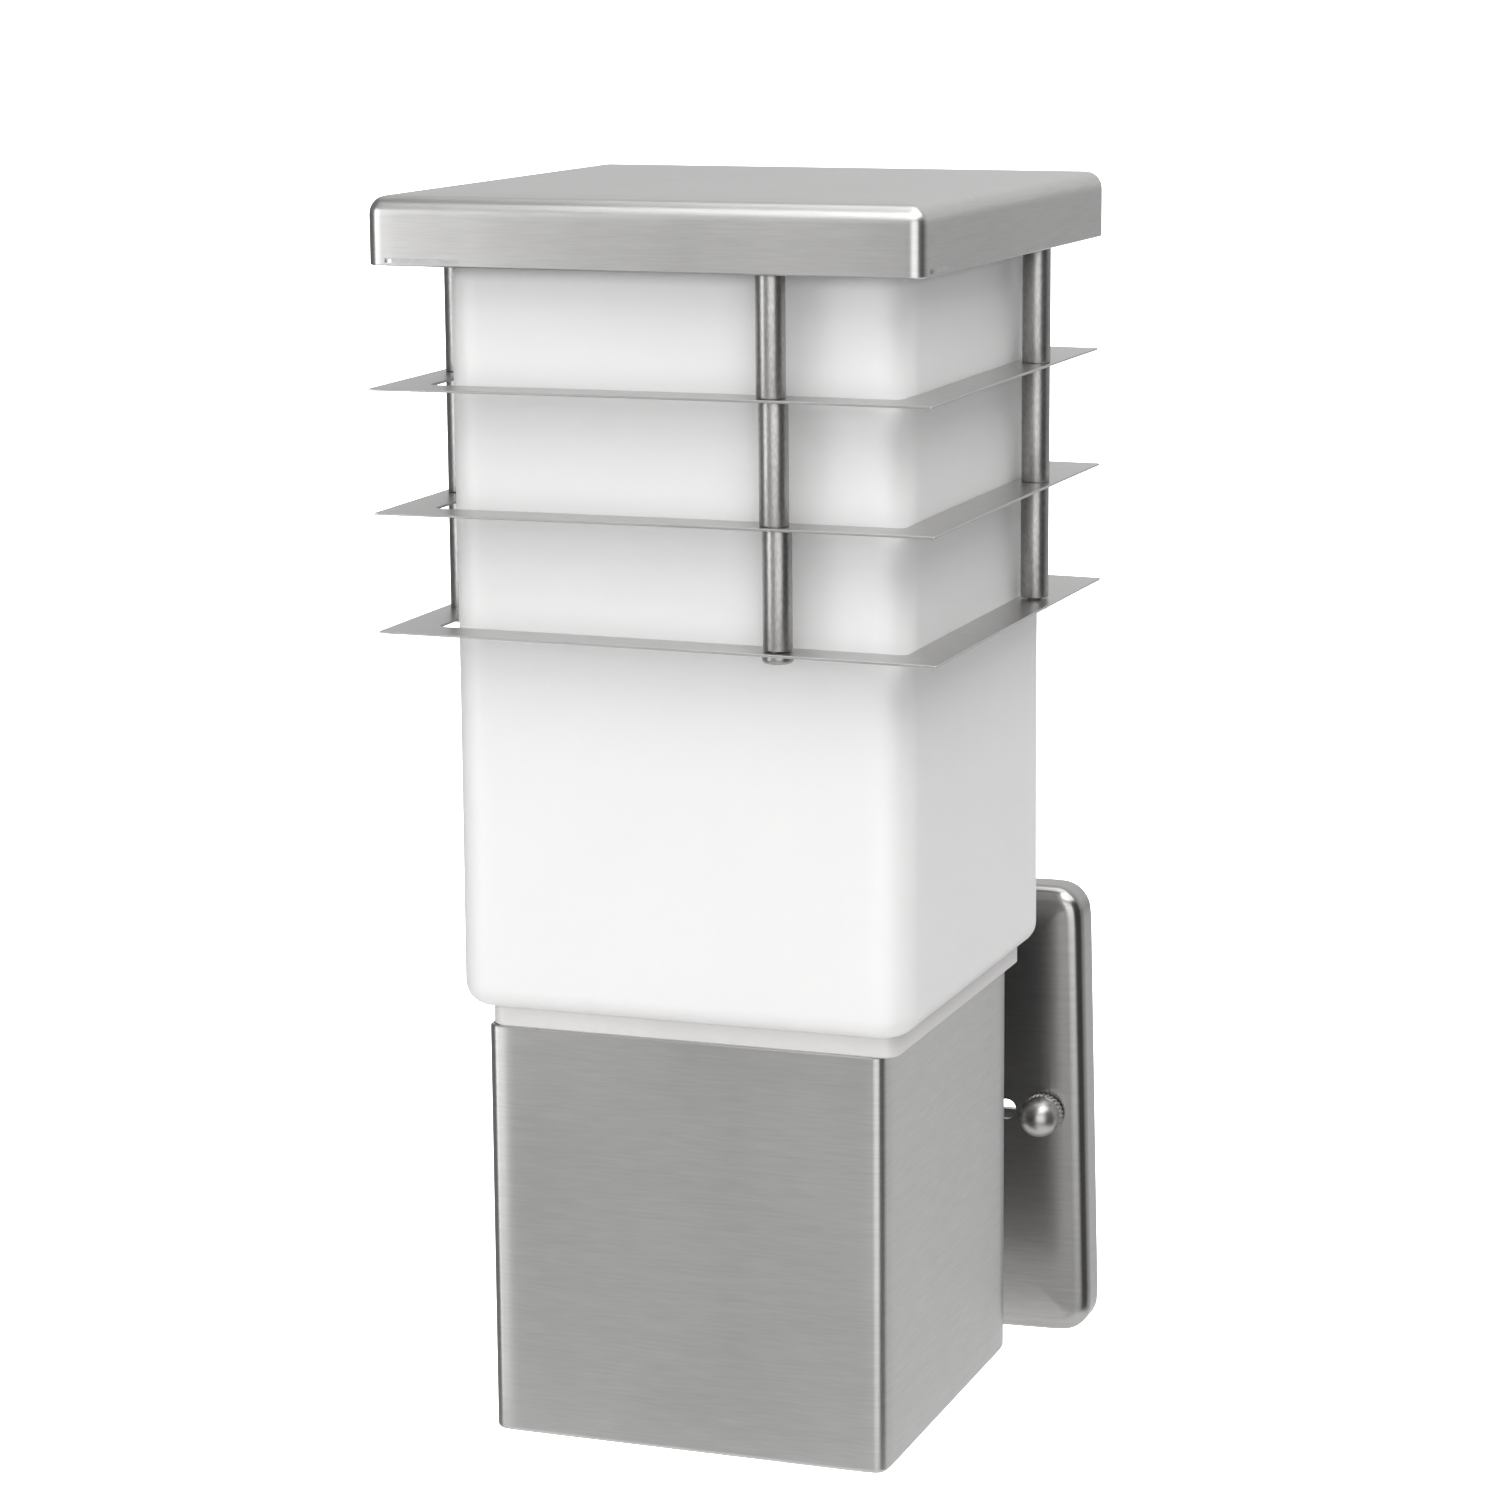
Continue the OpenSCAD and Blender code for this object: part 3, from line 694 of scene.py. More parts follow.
def cut(mesh: bpy.types.Mesh, cutters: Sequence[bpy.types.Mesh]) -> bpy.types.Mesh:
    """Cuts solids out of a mesh.

    Args:
        mesh: The mesh to cut.
        cutters: Closed meshes, each taken away.

    Returns:
        The cut mesh.
    """
    body = bpy.data.objects.new("cut_body", mesh)
    tool = bpy.data.objects.new("cut_tool", join(cutters))
    for obj in (body, tool):
        bpy.context.scene.collection.objects.link(obj)
    modifier = body.modifiers.new("cut", "BOOLEAN")
    modifier.operation = "DIFFERENCE"
    modifier.solver = "EXACT"
    modifier.use_self = False
    modifier.object = tool
    graph = bpy.context.evaluated_depsgraph_get()
    result = bpy.data.meshes.new_from_object(body.evaluated_get(graph), depsgraph=graph)
    for obj in (body, tool):
        bpy.data.objects.remove(obj)
    return result


def map_grain(mesh: bpy.types.Mesh, upright: bool = False) -> None:
    """Lays a grain map in metres: U runs along the grain and V across it.

    Args:
        mesh: The mesh to map.
        upright: Whether the grain runs up the piece; otherwise it runs level round it.
    """
    layer = mesh.uv_layers.get(GRAIN_MAP) or mesh.uv_layers.new(name=GRAIN_MAP)
    for face in mesh.polygons:
        side = max(range(3), key=lambda k: abs(face.normal[k]))
        along, across = {0: (1, 2), 1: (0, 2), 2: (0, 1)}[side]
        if upright and side != 2:
            along, across = across, along
        for index in face.loop_indices:
            place = mesh.vertices[mesh.loops[index].vertex_index].co
            layer.data[index].uv = (place[along] + side * 0.31, place[across])


@dataclass(frozen=True)
class Delivery:
    """Turns a mesh into a finished piece that rides on a body.

    Attributes:
        name: The piece's name.
        body: The CAD body that it rides on.
        nodes: The CAD nodes that it stands for.
        finish: Its finish.
        sharp: Edges sharper than this many degrees stay sharp.
        upright: Whether its grain runs upright.
    """

    name: str
    body: str
    nodes: tuple[str, ...]
    finish: Finish
    sharp: float = 32.0
    upright: bool = False

    def make(self, mesh: bpy.types.Mesh) -> bpy.types.Object:
        """Shades, maps and hands over a piece.

        Args:
            mesh: The piece's mesh, already in place.

        Returns:
            The finished object.
        """
        mesh.name = self.name
        mesh.shade_smooth()
        mesh.set_sharp_from_angle(angle=math.radians(self.sharp))
        map_grain(mesh, self.upright)
        mesh.materials.clear()
        mesh.materials.append(self.finish.material())
        piece = bpy.data.objects.new(self.name, mesh)
        bpy.context.scene.collection.objects.link(piece)
        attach(piece, self.body)
        if self.nodes:
            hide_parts(*self.nodes)
        LOG.info("%s: %d faces, rides on %s", self.name, len(mesh.polygons), self.body)
        return piece


def dress(finish: Finish, *nodes: str) -> None:
    """Gives CAD nodes that are shown as they are a detailed finish.

    Args:
        finish: The finish.
        nodes: The CAD nodes.
    """
    for name in nodes:
        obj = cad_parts[name]
        if not obj.material_slots:
            obj.data.materials.append(finish.material())
        for slot in obj.material_slots:
            slot.material = finish.material()
        LOG.info("%s: CAD shape, %s", name, finish.slot)


# ---- Geometry node recipes ----


class Recipe:
    """A geometry node tree with named inputs, whose result becomes a plain mesh."""

    def __init__(self, name: str, inputs: dict[str, str]) -> None:
        """Starts the tree.

        Args:
            name: The tree's name.
            inputs: Each input's name, and its socket type without "NodeSocket".
        """
        self.tree = bpy.data.node_groups.new(name, "GeometryNodeTree")
        add = self.tree.interface.new_socket
        for label, kind in {"Geometry": "Geometry", **inputs, "Material": "Material"}.items():
            add(label, in_out="INPUT", socket_type="NodeSocket" + kind)
        add("Geometry", in_out="OUTPUT", socket_type="NodeSocketGeometry")
        self.graph = Graph(self.tree)
        self.source = self.graph.node("NodeGroupInput")
        real = self.graph.node("GeometryNodeRealizeInstances", None, {0: self.lay_out()})
        sockets = {0: real.outputs[0], "Material": self.given("Material")}
        dressed = self.graph.node("GeometryNodeSetMaterial", None, sockets)
        self.graph.node("NodeGroupOutput", None, {0: dressed.outputs[0]})

    def lay_out(self) -> Value:
        """Adds the recipe's own nodes and returns the geometry that they make."""
        raise NotImplementedError

    def given(self, label: str) -> Value:
        """Returns one of the tree's inputs."""
        return self.graph.out(self.source, label)

    def make(
        self, base: bpy.types.ID | None, finish: Finish, values: dict[str, object]
    ) -> bpy.types.Mesh:
        """Runs the recipe.

        Args:
            base: The mesh or curve that it starts from; none where it makes its own.
            finish: The finish that it sets.
            values: The named inputs' values.

        Returns:
            The result as a plain mesh.
        """
        obj = bpy.data.objects.new("recipe", base or bpy.data.meshes.new("recipe"))
        bpy.context.scene.collection.objects.link(obj)
        modifier = obj.modifiers.new("recipe", "NODES")
        modifier.node_group = self.tree
        wanted = {**values, "Material": finish.material()}
        for item in self.tree.interface.items_tree:
            if item.in_out == "INPUT" and item.name in wanted:
                modifier[item.identifier] = wanted[item.name]
        graph = bpy.context.evaluated_depsgraph_get()
        mesh = bpy.data.meshes.new_from_object(obj.evaluated_get(graph), depsgraph=graph)
        obj.modifiers.remove(modifier)
        bpy.data.objects.remove(obj)
        return mesh


class Around(Recipe):
    """Copies of a mesh, turned evenly round an upright axis."""

    def __init__(self) -> None:
        """Names the inputs."""
        super().__init__("around_axis", {"Copies": "Int", "Centre": "Vector"})

    def lay_out(self) -> Value:
        """Puts a turned copy on each of a stack of points at the centre.

        Returns:
            The copies.
        """
        graph = self.graph
        centre, copies = self.given("Centre"), self.given("Copies")
        back = graph.scaled(centre, (-1, -1, -1))
        sockets = {"Geometry": self.given("Geometry"), "Translation": back}
        local = graph.node("GeometryNodeTransform", None, sockets)
        points = graph.node("GeometryNodePoints", None, {"Count": copies, "Position": centre})
        index = graph.out(graph.node("GeometryNodeInputIndex"))
        turn = graph.node("ShaderNodeCombineXYZ", None, {"Z": index * TAU / copies})
        copied = {"Points": points.outputs[0], "Instance": local.outputs[0], "Rotation": turn.outputs[0]}
        return graph.out(graph.node("GeometryNodeInstanceOnPoints", None, copied))


class Thread(Recipe):
    """A round rod or tube whose surface follows a helical thread."""

    def __init__(self) -> None:
        """Names the inputs."""
        sizes = {"Radius": "Float", "Length": "Float", "Pitch": "Float", "Depth": "Float"}
        super().__init__("thread", {**sizes, "Closed": "Float", "Around": "Int", "Rows": "Int"})

    def lay_out(self) -> Value:
        """Rolls a grid into a tube and sets each point's radius by the helix.

        Returns:
            The threaded surface.
        """
        graph = self.graph
        counts = {"Vertices X": self.given("Around"), "Vertices Y": self.given("Rows")}
        grid = graph.node("GeometryNodeMeshGrid", None, {"Size X": 1.0, "Size Y": 1.0, **counts})
        position = graph.node("GeometryNodeInputPosition")
        place = graph.node("ShaderNodeSeparateXYZ", None, {0: position.outputs[0]})
        round_share = graph.out(place, "X") + 0.5
        height = (graph.out(place, "Y") + 0.5) * self.given("Length")
        phase = (height / self.given("Pitch") - round_share) * TAU
        groove = (1.0 - phase.math("COSINE")) * 0.5 * self.given("Depth")
        from_end = height.math("MINIMUM", self.given("Length") - height)
        root = self.given("Radius") - self.given("Depth")
        radius = (self.given("Radius") - groove).math("MINIMUM", root + from_end)
        shut = from_end.math("LESS_THAN", 1e-6) * self.given("Closed")
        radius = radius * (1.0 - shut)
        angle = round_share * TAU
        parts = {"X": radius * angle.math("COSINE"), "Y": radius * angle.math("SINE"), "Z": height}
        rolled = graph.node("ShaderNodeCombineXYZ", None, parts)
        sockets = {"Geometry": grid.outputs[0], "Position": rolled.outputs[0]}
        shaped = graph.node("GeometryNodeSetPosition", None, sockets)
        sockets = {"Geometry": shaped.outputs[0], "Distance": 1e-6}
        return graph.out(graph.node("GeometryNodeMergeByDistance", None, sockets))

    def rod(
        self,
        radius: float,
        length: float,
        pitch: float,
        depth: float,
        finish: Finish,
        closed: bool = True,
    ) -> bpy.types.Mesh:
        """Makes a threaded rod that stands on the origin.

        Args:
            radius: Outer radius.
            length: Length.
            pitch: Height of one turn of the thread.
            depth: Depth of the thread.
            finish: Its finish.
            closed: Whether the ends are closed.

        Returns:
            The rod's mesh.
        """
        rows = int(length / pitch * 7) + 6
        values = {"Radius": radius, "Length": length, "Pitch": pitch, "Depth": depth}
        counts = {"Closed": float(closed), "Around": 25, "Rows": rows}
        return self.make(None, finish, {**values, **counts})

    def m4(self, length: float, depth: float = 0.4 * MM) -> bpy.types.Mesh:
        """Makes a zinc-plated M4 rod that stands on the origin."""
        return self.rod(M4_RADIUS, length, M4_PITCH, depth, ZINC)

    def pipe(self, radius: float, bore: float, length: float) -> bpy.types.Mesh:
        """Makes a brass tube with a fine thread outside, standing on the origin."""
        tube = self.rod(radius, length, FINE_PITCH, FINE_DEPTH, BRASS)
        return cut(tube, [plug(bore, -MM, length + MM).mesh()])


class Route(Recipe):
    """A round tube along a curve."""

    def __init__(self) -> None:
        """Names the inputs."""
        super().__init__("route_tube", {"Radius": "Float", "Sides": "Int"})

    def lay_out(self) -> Value:
        """Sweeps a circle along the curve and closes both ends.

        Returns:
            The tube.
        """
        graph = self.graph
        sockets = {"Resolution": self.given("Sides"), "Radius": self.given("Radius")}
        circle = graph.node("GeometryNodeCurvePrimitiveCircle", None, sockets)
        sweep = {"Curve": self.given("Geometry"), "Profile Curve": circle.outputs[0], "Fill Caps": True}
        return graph.out(graph.node("GeometryNodeCurveToMesh", None, sweep))

    def tube(self, route: Sequence[Sequence[float]], radius: float, finish: Finish) -> bpy.types.Mesh:
        """Makes a tube on a smooth curve through a route's points.

        Args:
            route: The points.
            radius: The tube's radius.
            finish: Its finish.

        Returns:
            The tube's mesh.
        """
        curve = bpy.data.curves.new("route", "CURVE")
        curve.dimensions = "3D"
        curve.resolution_u = 8
        spline = curve.splines.new("BEZIER")
        spline.bezier_points.add(len(route) - 1)
        for point, place in zip(spline.bezier_points, route):
            point.co = place
            point.handle_left_type = point.handle_right_type = "AUTO"
        return self.make(curve, finish, {"Radius": radius, "Sides": 14})


@dataclass
class Workshop:
    """The recipes that the sub-assemblies share.

    Attributes:
        around: Copies round an axis.
        thread: Threaded rods and tubes.
        route: Tubes along a route.
    """

    around: Around
    thread: Thread
    route: Route


# ---- Shared shapes ----


def ring_profile(
    outer: float, inner: float, low: float, high: float, soft: float
) -> list[tuple[float, float]]:
    """Returns the closed profile of a ring with soft edges.

    Args:
        outer: Outer radius.
        inner: Inner radius.
        low: Lower face.
        high: Upper face.
        soft: Radius of its edges.

    Returns:
        Radius and height of each point.
    """
    return [
        *arc((outer - soft, low + soft), soft, -90, 0, 3),
        *arc((outer - soft, high - soft), soft, 0, 90, 3),
        *arc((inner + soft, high - soft), soft, 90, 180, 3),
        *arc((inner + soft, low + soft), soft, 180, 270, 3),
    ]


def hexagon(across: float, limit: float, z: float, steps: int) -> list[Vector]:
    """Returns a hexagon's points at a height, held inside a circle.

    Args:
        across: Its width across flats.
        limit: Radius of the circle.
        z: Its height.
        steps: Points round it.

    Returns:
        The points.
    """
    points = []
    for k in range(steps):
        angle = k / steps * TAU
        flat = (across / 2) / math.cos((angle + TAU / 12) % (TAU / 6) - TAU / 12)
        radius = min(flat, limit)
        points.append(Vector((radius * math.cos(angle), radius * math.sin(angle), z)))
    return points


def hex_nut(across: float, bore: float, height: float, place: Matrix) -> bpy.types.Mesh:
    """Makes a hexagon nut with chamfered corners.

    Args:
        across: Width across flats.
        bore: Radius of its bore.
        height: Its height.
        place: Where it goes, from standing on the origin.

    Returns:
        The nut's mesh.
    """
    steps = 48
    corner = across / math.sqrt(3)
    rim = across / 2 * 0.985
    chamfer = (corner - across / 2) * 0.58
    lead = height * 0.08
    outside = ((rim, 0), (corner, chamfer), (corner, height - chamfer), (rim, height))
    inside = ((bore + lead, height), (bore, height - lead), (bore, lead), (bore + lead, 0))
    solid = Solid()
    rings = [solid.ring(hexagon(across, limit, z, steps)) for limit, z in outside]
    rings += [solid.ring(circle(radius, z, steps)) for radius, z in inside]
    return solid.skin(rings, closed=True).mesh(place)


@dataclass(frozen=True)
class Pan:
    """A pressed pan: closed face up, walls down, with a soft edge between.

    Attributes:
        half: Half its width and depth outside.
        height: Its height.
        corner: Radius of its upright corners.
        edge: Radius between the walls and the face.
        sheet: Sheet thickness.
        roll: How far the sheet falls back beside its corners.
        fall: How far the face drops towards its edge.
    """

    half: tuple[float, float]
    height: float
    corner: float
    edge: float
    sheet: float
    roll: float = 0.0
    fall: float = 0.0

    def skin_profile(self, inset: float, top: float, edge: float) -> list[tuple[float, float]]:
        """Returns inset and height from the rim's side to the middle of the face.

        Args:
            inset: How far this skin lies inside the pan's outside.
            top: Height of this skin's face.
            edge: Radius of this skin's edge.

        Returns:
            Points from the rim up and in.
        """
        soft = self.sheet * 0.3
        brow = top - self.fall
        walls = [(inset, soft + (brow - edge - soft) * share) for share in (0, 0.05, 0.5, 0.9, 1)]
        turn = arc((0, 0), edge, 0, 90, 8)
        bend = [(inset + edge - x, brow - edge + z) for x, z in turn[1:]]
        inner = inset + edge
        run = min(self.half) - inner
        brim = 0.2
        face = []
        for share in (0.02, 0.05, 0.09, 0.14, brim, 0.3, 0.45, 0.65, 0.85, 0.99):
            drop = self.fall * (max(0.0, brim - share) / brim) ** 2
            face.append((inner + run * share, top - drop))
        return walls + bend + face

    def mesh(self, place: Matrix) -> bpy.types.Mesh:
        """Builds the pan, standing on its open rim.

        Args:
            place: Where it goes.

        Returns:
            The pan's mesh.
        """
        solid = Solid()
        soft = self.sheet * 0.3
        outside = self.skin_profile(0.0, self.height, self.edge)
        bend = max(self.edge - self.sheet, 0.2 * MM)
        inside = self.skin_profile(self.sheet, self.height - self.sheet, bend)
        rim = [(soft, 0.0), (self.sheet - soft, 0.0)]
        least = 0.8 * MM

        def loop(inset: float, z: float) -> list[bmesh.types.BMVert]:
            """Adds the ring at an inset and a height.

            Args:
                inset: How far it lies inside the pan's outside.
                z: Its height.

            Returns:
                Its vertices.
            """
            half = (self.half[0] - inset, self.half[1] - inset)
            corner = max(self.corner - inset, least)
            return solid.ring(Loop(half, corner, z).points(self.roll))

        rings = [loop(*point) for point in outside[::-1]]
        rings += [loop(*point) for point in rim]
        rings += [loop(*point) for point in inside]
        return solid.skin(rings).mesh(place)


# ---- Sub-assemblies ----


@dataclass
class CapAssembly:
    """The pressed cap, the plate that carries the head, and the glass's top fixing.

    Attributes:
        shop: The shared recipes.
        sheet: Thickness of the cap.
        corner: Radius of its upright corners.
        edge: Radius between skirt and top.
        twist: Degrees that the cap sits turned on its posts.
        slack: How far the pressed skirt springs out.
    """

    shop: Workshop
    sheet: float = 1.0 * MM
    corner: float = 3.6 * MM
    edge: float = 4.4 * MM
    twist: float = -1.6
    slack: float = 0.3 * MM

    def build(self) -> None:
        """Builds the cap, its nuts and the glass's top fixing."""
        low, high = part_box("cap")
        half = ((high.x - low.x) / 2 + self.slack, (high.y - low.y) / 2 + self.slack)
        height = high.z - low.z + self.slack
        pan = Pan(half, height, self.corner, self.edge, self.sheet, 0.05 * MM, 0.4 * MM)
        place = Facing.UP.at((*AXIS, low.z)) @ Matrix.Rotation(math.radians(self.twist), 4, "Z")
        Delivery("cap_cover", HEAD, ("cap",), PRESSED).make(pan.mesh(place))
        self.fixing()

    def fixing(self) -> None:
        """Builds the nuts and the threaded tube that hold the glass."""
        low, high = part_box("glass_nipple")
        tube = self.shop.thread.pipe(5.0 * MM, 3.2 * MM, high.z - low.z)
        tube.transform(Facing.UP.at((*AXIS, low.z)))
        Delivery("glass_tube", HEAD, ("glass_nipple",), BRASS).make(tube)
        low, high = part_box("glass_nuts")
        tall = 4.0 * MM
        places = [Facing.UP.at((*AXIS, z)) for z in (low.z, high.z - tall)]
        nuts = [hex_nut(14.0 * MM, 5.02 * MM, tall, place) for place in places]
        Delivery("glass_hex_nuts", HEAD, ("glass_nuts",), ZINC).make(join(nuts))
        dress(ZINC, "cap_plate", "glass_washer")
        dress(RUBBER, "glass_gasket", "glass_pad")


class Tier(Enum):
    """The louvres, from the top down, as they settled when they were put together."""

    UPPER = ("upper", -0.6 * MM, -1.85, 0.40 * MM, 0.0)
    MIDDLE = ("middle", 0.1 * MM, -1.4, 0.45 * MM, 0.0)
    LOWER = ("lower", 0.55 * MM, -0.85, 0.0, 0.5)

    def __init__(self, label: str, shift: float, twist: float, drop: float, tilt: float) -> None:
        """Keeps one louvre's place.

        Args:
            label: Its name.
            shift: How far it sits off to the right.
            twist: Degrees that the tubes above it stand round from it.
            drop: How far it hangs low.
            tilt: Degrees that its left side stands high.
        """
        self.label = label
        self.shift = shift
        self.twist = twist
        self.drop = drop
        self.tilt = tilt


@dataclass
class LouvreStack:
    """Three louvre frames on four posts.

    Attributes:
        shop: The shared recipes.
        post: Place of the front post's axis, from the lantern's axis.
        tube_radius: Radius of the spacer tubes.
        tube_bore: Radius of their bore.
        opening: Half the width of the louvres' openings.
        edge: Softness of the louvres' cut edges.
        bow: How far a louvre's corners hang below the middles of its sides.
        lean: Degrees that the rods stand round from square.
    """

    shop: Workshop
    post: tuple[float, float] = (31.0 * MM, -64.0 * MM)
    tube_radius: float = 3.5 * MM
    tube_bore: float = 2.5 * MM
    opening: float = 59.2 * MM
    edge: float = 0.12 * MM
    bow: float = 0.2 * MM
    lean: float = -1.3

    def build(self) -> None:
        """Builds the louvres, tubes, rods and nuts."""
        for tier in Tier:
            self.louvre(tier)
            self.tubes(tier)
        self.rods()

    def round_posts(self, mesh: bpy.types.Mesh, finish: Finish, twist: float) -> bpy.types.Mesh:
        """Copies a post's piece to all four posts.

        Args:
            mesh: The front post's piece.
            finish: Its finish.
            twist: Degrees that the posts stand round from square.

        Returns:
            The four pieces as one mesh.
        """
        centre = Vector((*AXIS, 0.0))
        turn = Matrix.Rotation(math.radians(twist), 4, "Z")
        mesh.transform(Matrix.Translation(centre) @ turn @ Matrix.Translation(-centre))
        return self.shop.around.make(mesh, finish, {"Copies": 4, "Centre": centre})

    def louvre(self, tier: Tier) -> None:
        """Builds one thin louvre frame, slightly bowed along each side.

        Args:
            tier: Which louvre.
        """
        node = "louvre_" + tier.label
        low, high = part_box(node)
        outer, inner = (high.x - low.x) / 2, self.opening
        sheet = high.z - low.z
        soft, strip = self.edge, 2 * MM
        section = [
            (outer - soft, 0.0), (outer, soft), (outer, sheet - soft), (outer - soft, sheet),
            (outer - strip, sheet), (inner + strip, sheet), (inner + soft, sheet), (inner, sheet - soft),
            (inner, soft), (inner + soft, 0.0), (inner + strip, 0.0), (outer - strip, 0.0),
        ]
        inner_corner, outer_corner = 2.0 * MM, 0.4 * MM
        solid = Solid()
        rings = []
        for half, z in section:
            share = (half - inner) / (outer - inner)
            corner = inner_corner + (outer_corner - inner_corner) * share
            rings.append(solid.ring(Loop((half, half), corner, z).points()))
        solid.skin(rings, closed=True)

        def sag(point: Vector) -> Vector:
            """Lowers a point the more, the nearer it is to a corner.

            Args:
                point: The point.

            Returns:
                Its new place.
            """
            share = min(abs(point.x), abs(point.y)) / outer
            return point - Vector((0, 0, self.bow * share ** 2))

        place = Facing.UP.at((AXIS.x + tier.shift, AXIS.y, low.z - tier.drop))
        place @= Matrix.Rotation(math.radians(tier.tilt), 4, "Y")
        mesh = solid.move(sag).mesh(place)
        Delivery(node + "_frame", HEAD, (node,), PRESSED).make(mesh)

    def at_post(self, z: float) -> Matrix:
        """Returns the place on the front post's axis at a height."""
        return Facing.UP.at((AXIS.x + self.post[0], AXIS.y + self.post[1], z))

    def tubes(self, tier: Tier) -> None:
        """Builds the four spacer tubes over one louvre.

        Args:
            tier: Which louvre.
        """
        node = "tubes_" + tier.label
        low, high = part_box(node)
        tall = high.z - low.z + tier.drop
        profile = ring_profile(self.tube_radius, self.tube_bore, 0.0, tall, 0.25 * MM)
        tube = Solid().lathe(profile, 40, closed=True).mesh(self.at_post(low.z - tier.drop))
        mesh = self.round_posts(tube, TURNED, tier.twist)
        Delivery(node + "_spacers", HEAD, (node,), TURNED, upright=True).make(mesh)

    def rods(self) -> None:
        """Builds the tie rods, the button nuts below and the nuts above."""
        low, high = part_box("tie_rods")
        rod = self.shop.thread.m4(high.z - low.z)
        rod.transform(self.at_post(low.z))
        mesh = self.round_posts(rod, ZINC, self.lean)
        Delivery("tie_rods_threaded", HEAD, ("tie_rods",), ZINC).make(mesh)
        low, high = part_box("button_nuts")
        button = self.button(high.z - low.z, self.at_post(low.z))
        mesh = self.round_posts(button, TURNED, Tier.LOWER.twist)
        Delivery("button_nuts_turned", HEAD, ("button_nuts",), TURNED).make(mesh)
        low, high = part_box("rod_nuts")
        nut = hex_nut(7.0 * MM, M4_BORE, high.z - low.z, self.at_post(low.z))
        mesh = self.round_posts(nut, ZINC, self.lean)
        Delivery("rod_hex_nuts", HEAD, ("rod_nuts",), ZINC).make(mesh)

    def button(self, tall: float, place: Matrix) -> bpy.types.Mesh:
        """Makes a round nut with a soft, dimpled underside.

        Args:
            tall: Its height.
            place: Where it goes.

        Returns:
            The nut's mesh.
        """
        radius, soft, floor = 3.8 * MM, 1.2 * MM, 0.9 * MM
        dimple, chamfer = 0.25 * MM, 0.15 * MM
        profile = [(PIN, dimple), (1.2 * MM, dimple), (1.5 * MM, 0.0)]
        profile += arc((radius - soft, soft), soft, -90, 0, 6)
        profile += [(radius, tall - chamfer), (radius - chamfer, tall)]
        profile += [(M4_BORE, tall), (M4_BORE, floor), (PIN, floor)]
        return Solid().lathe(profile, 40).mesh(place)


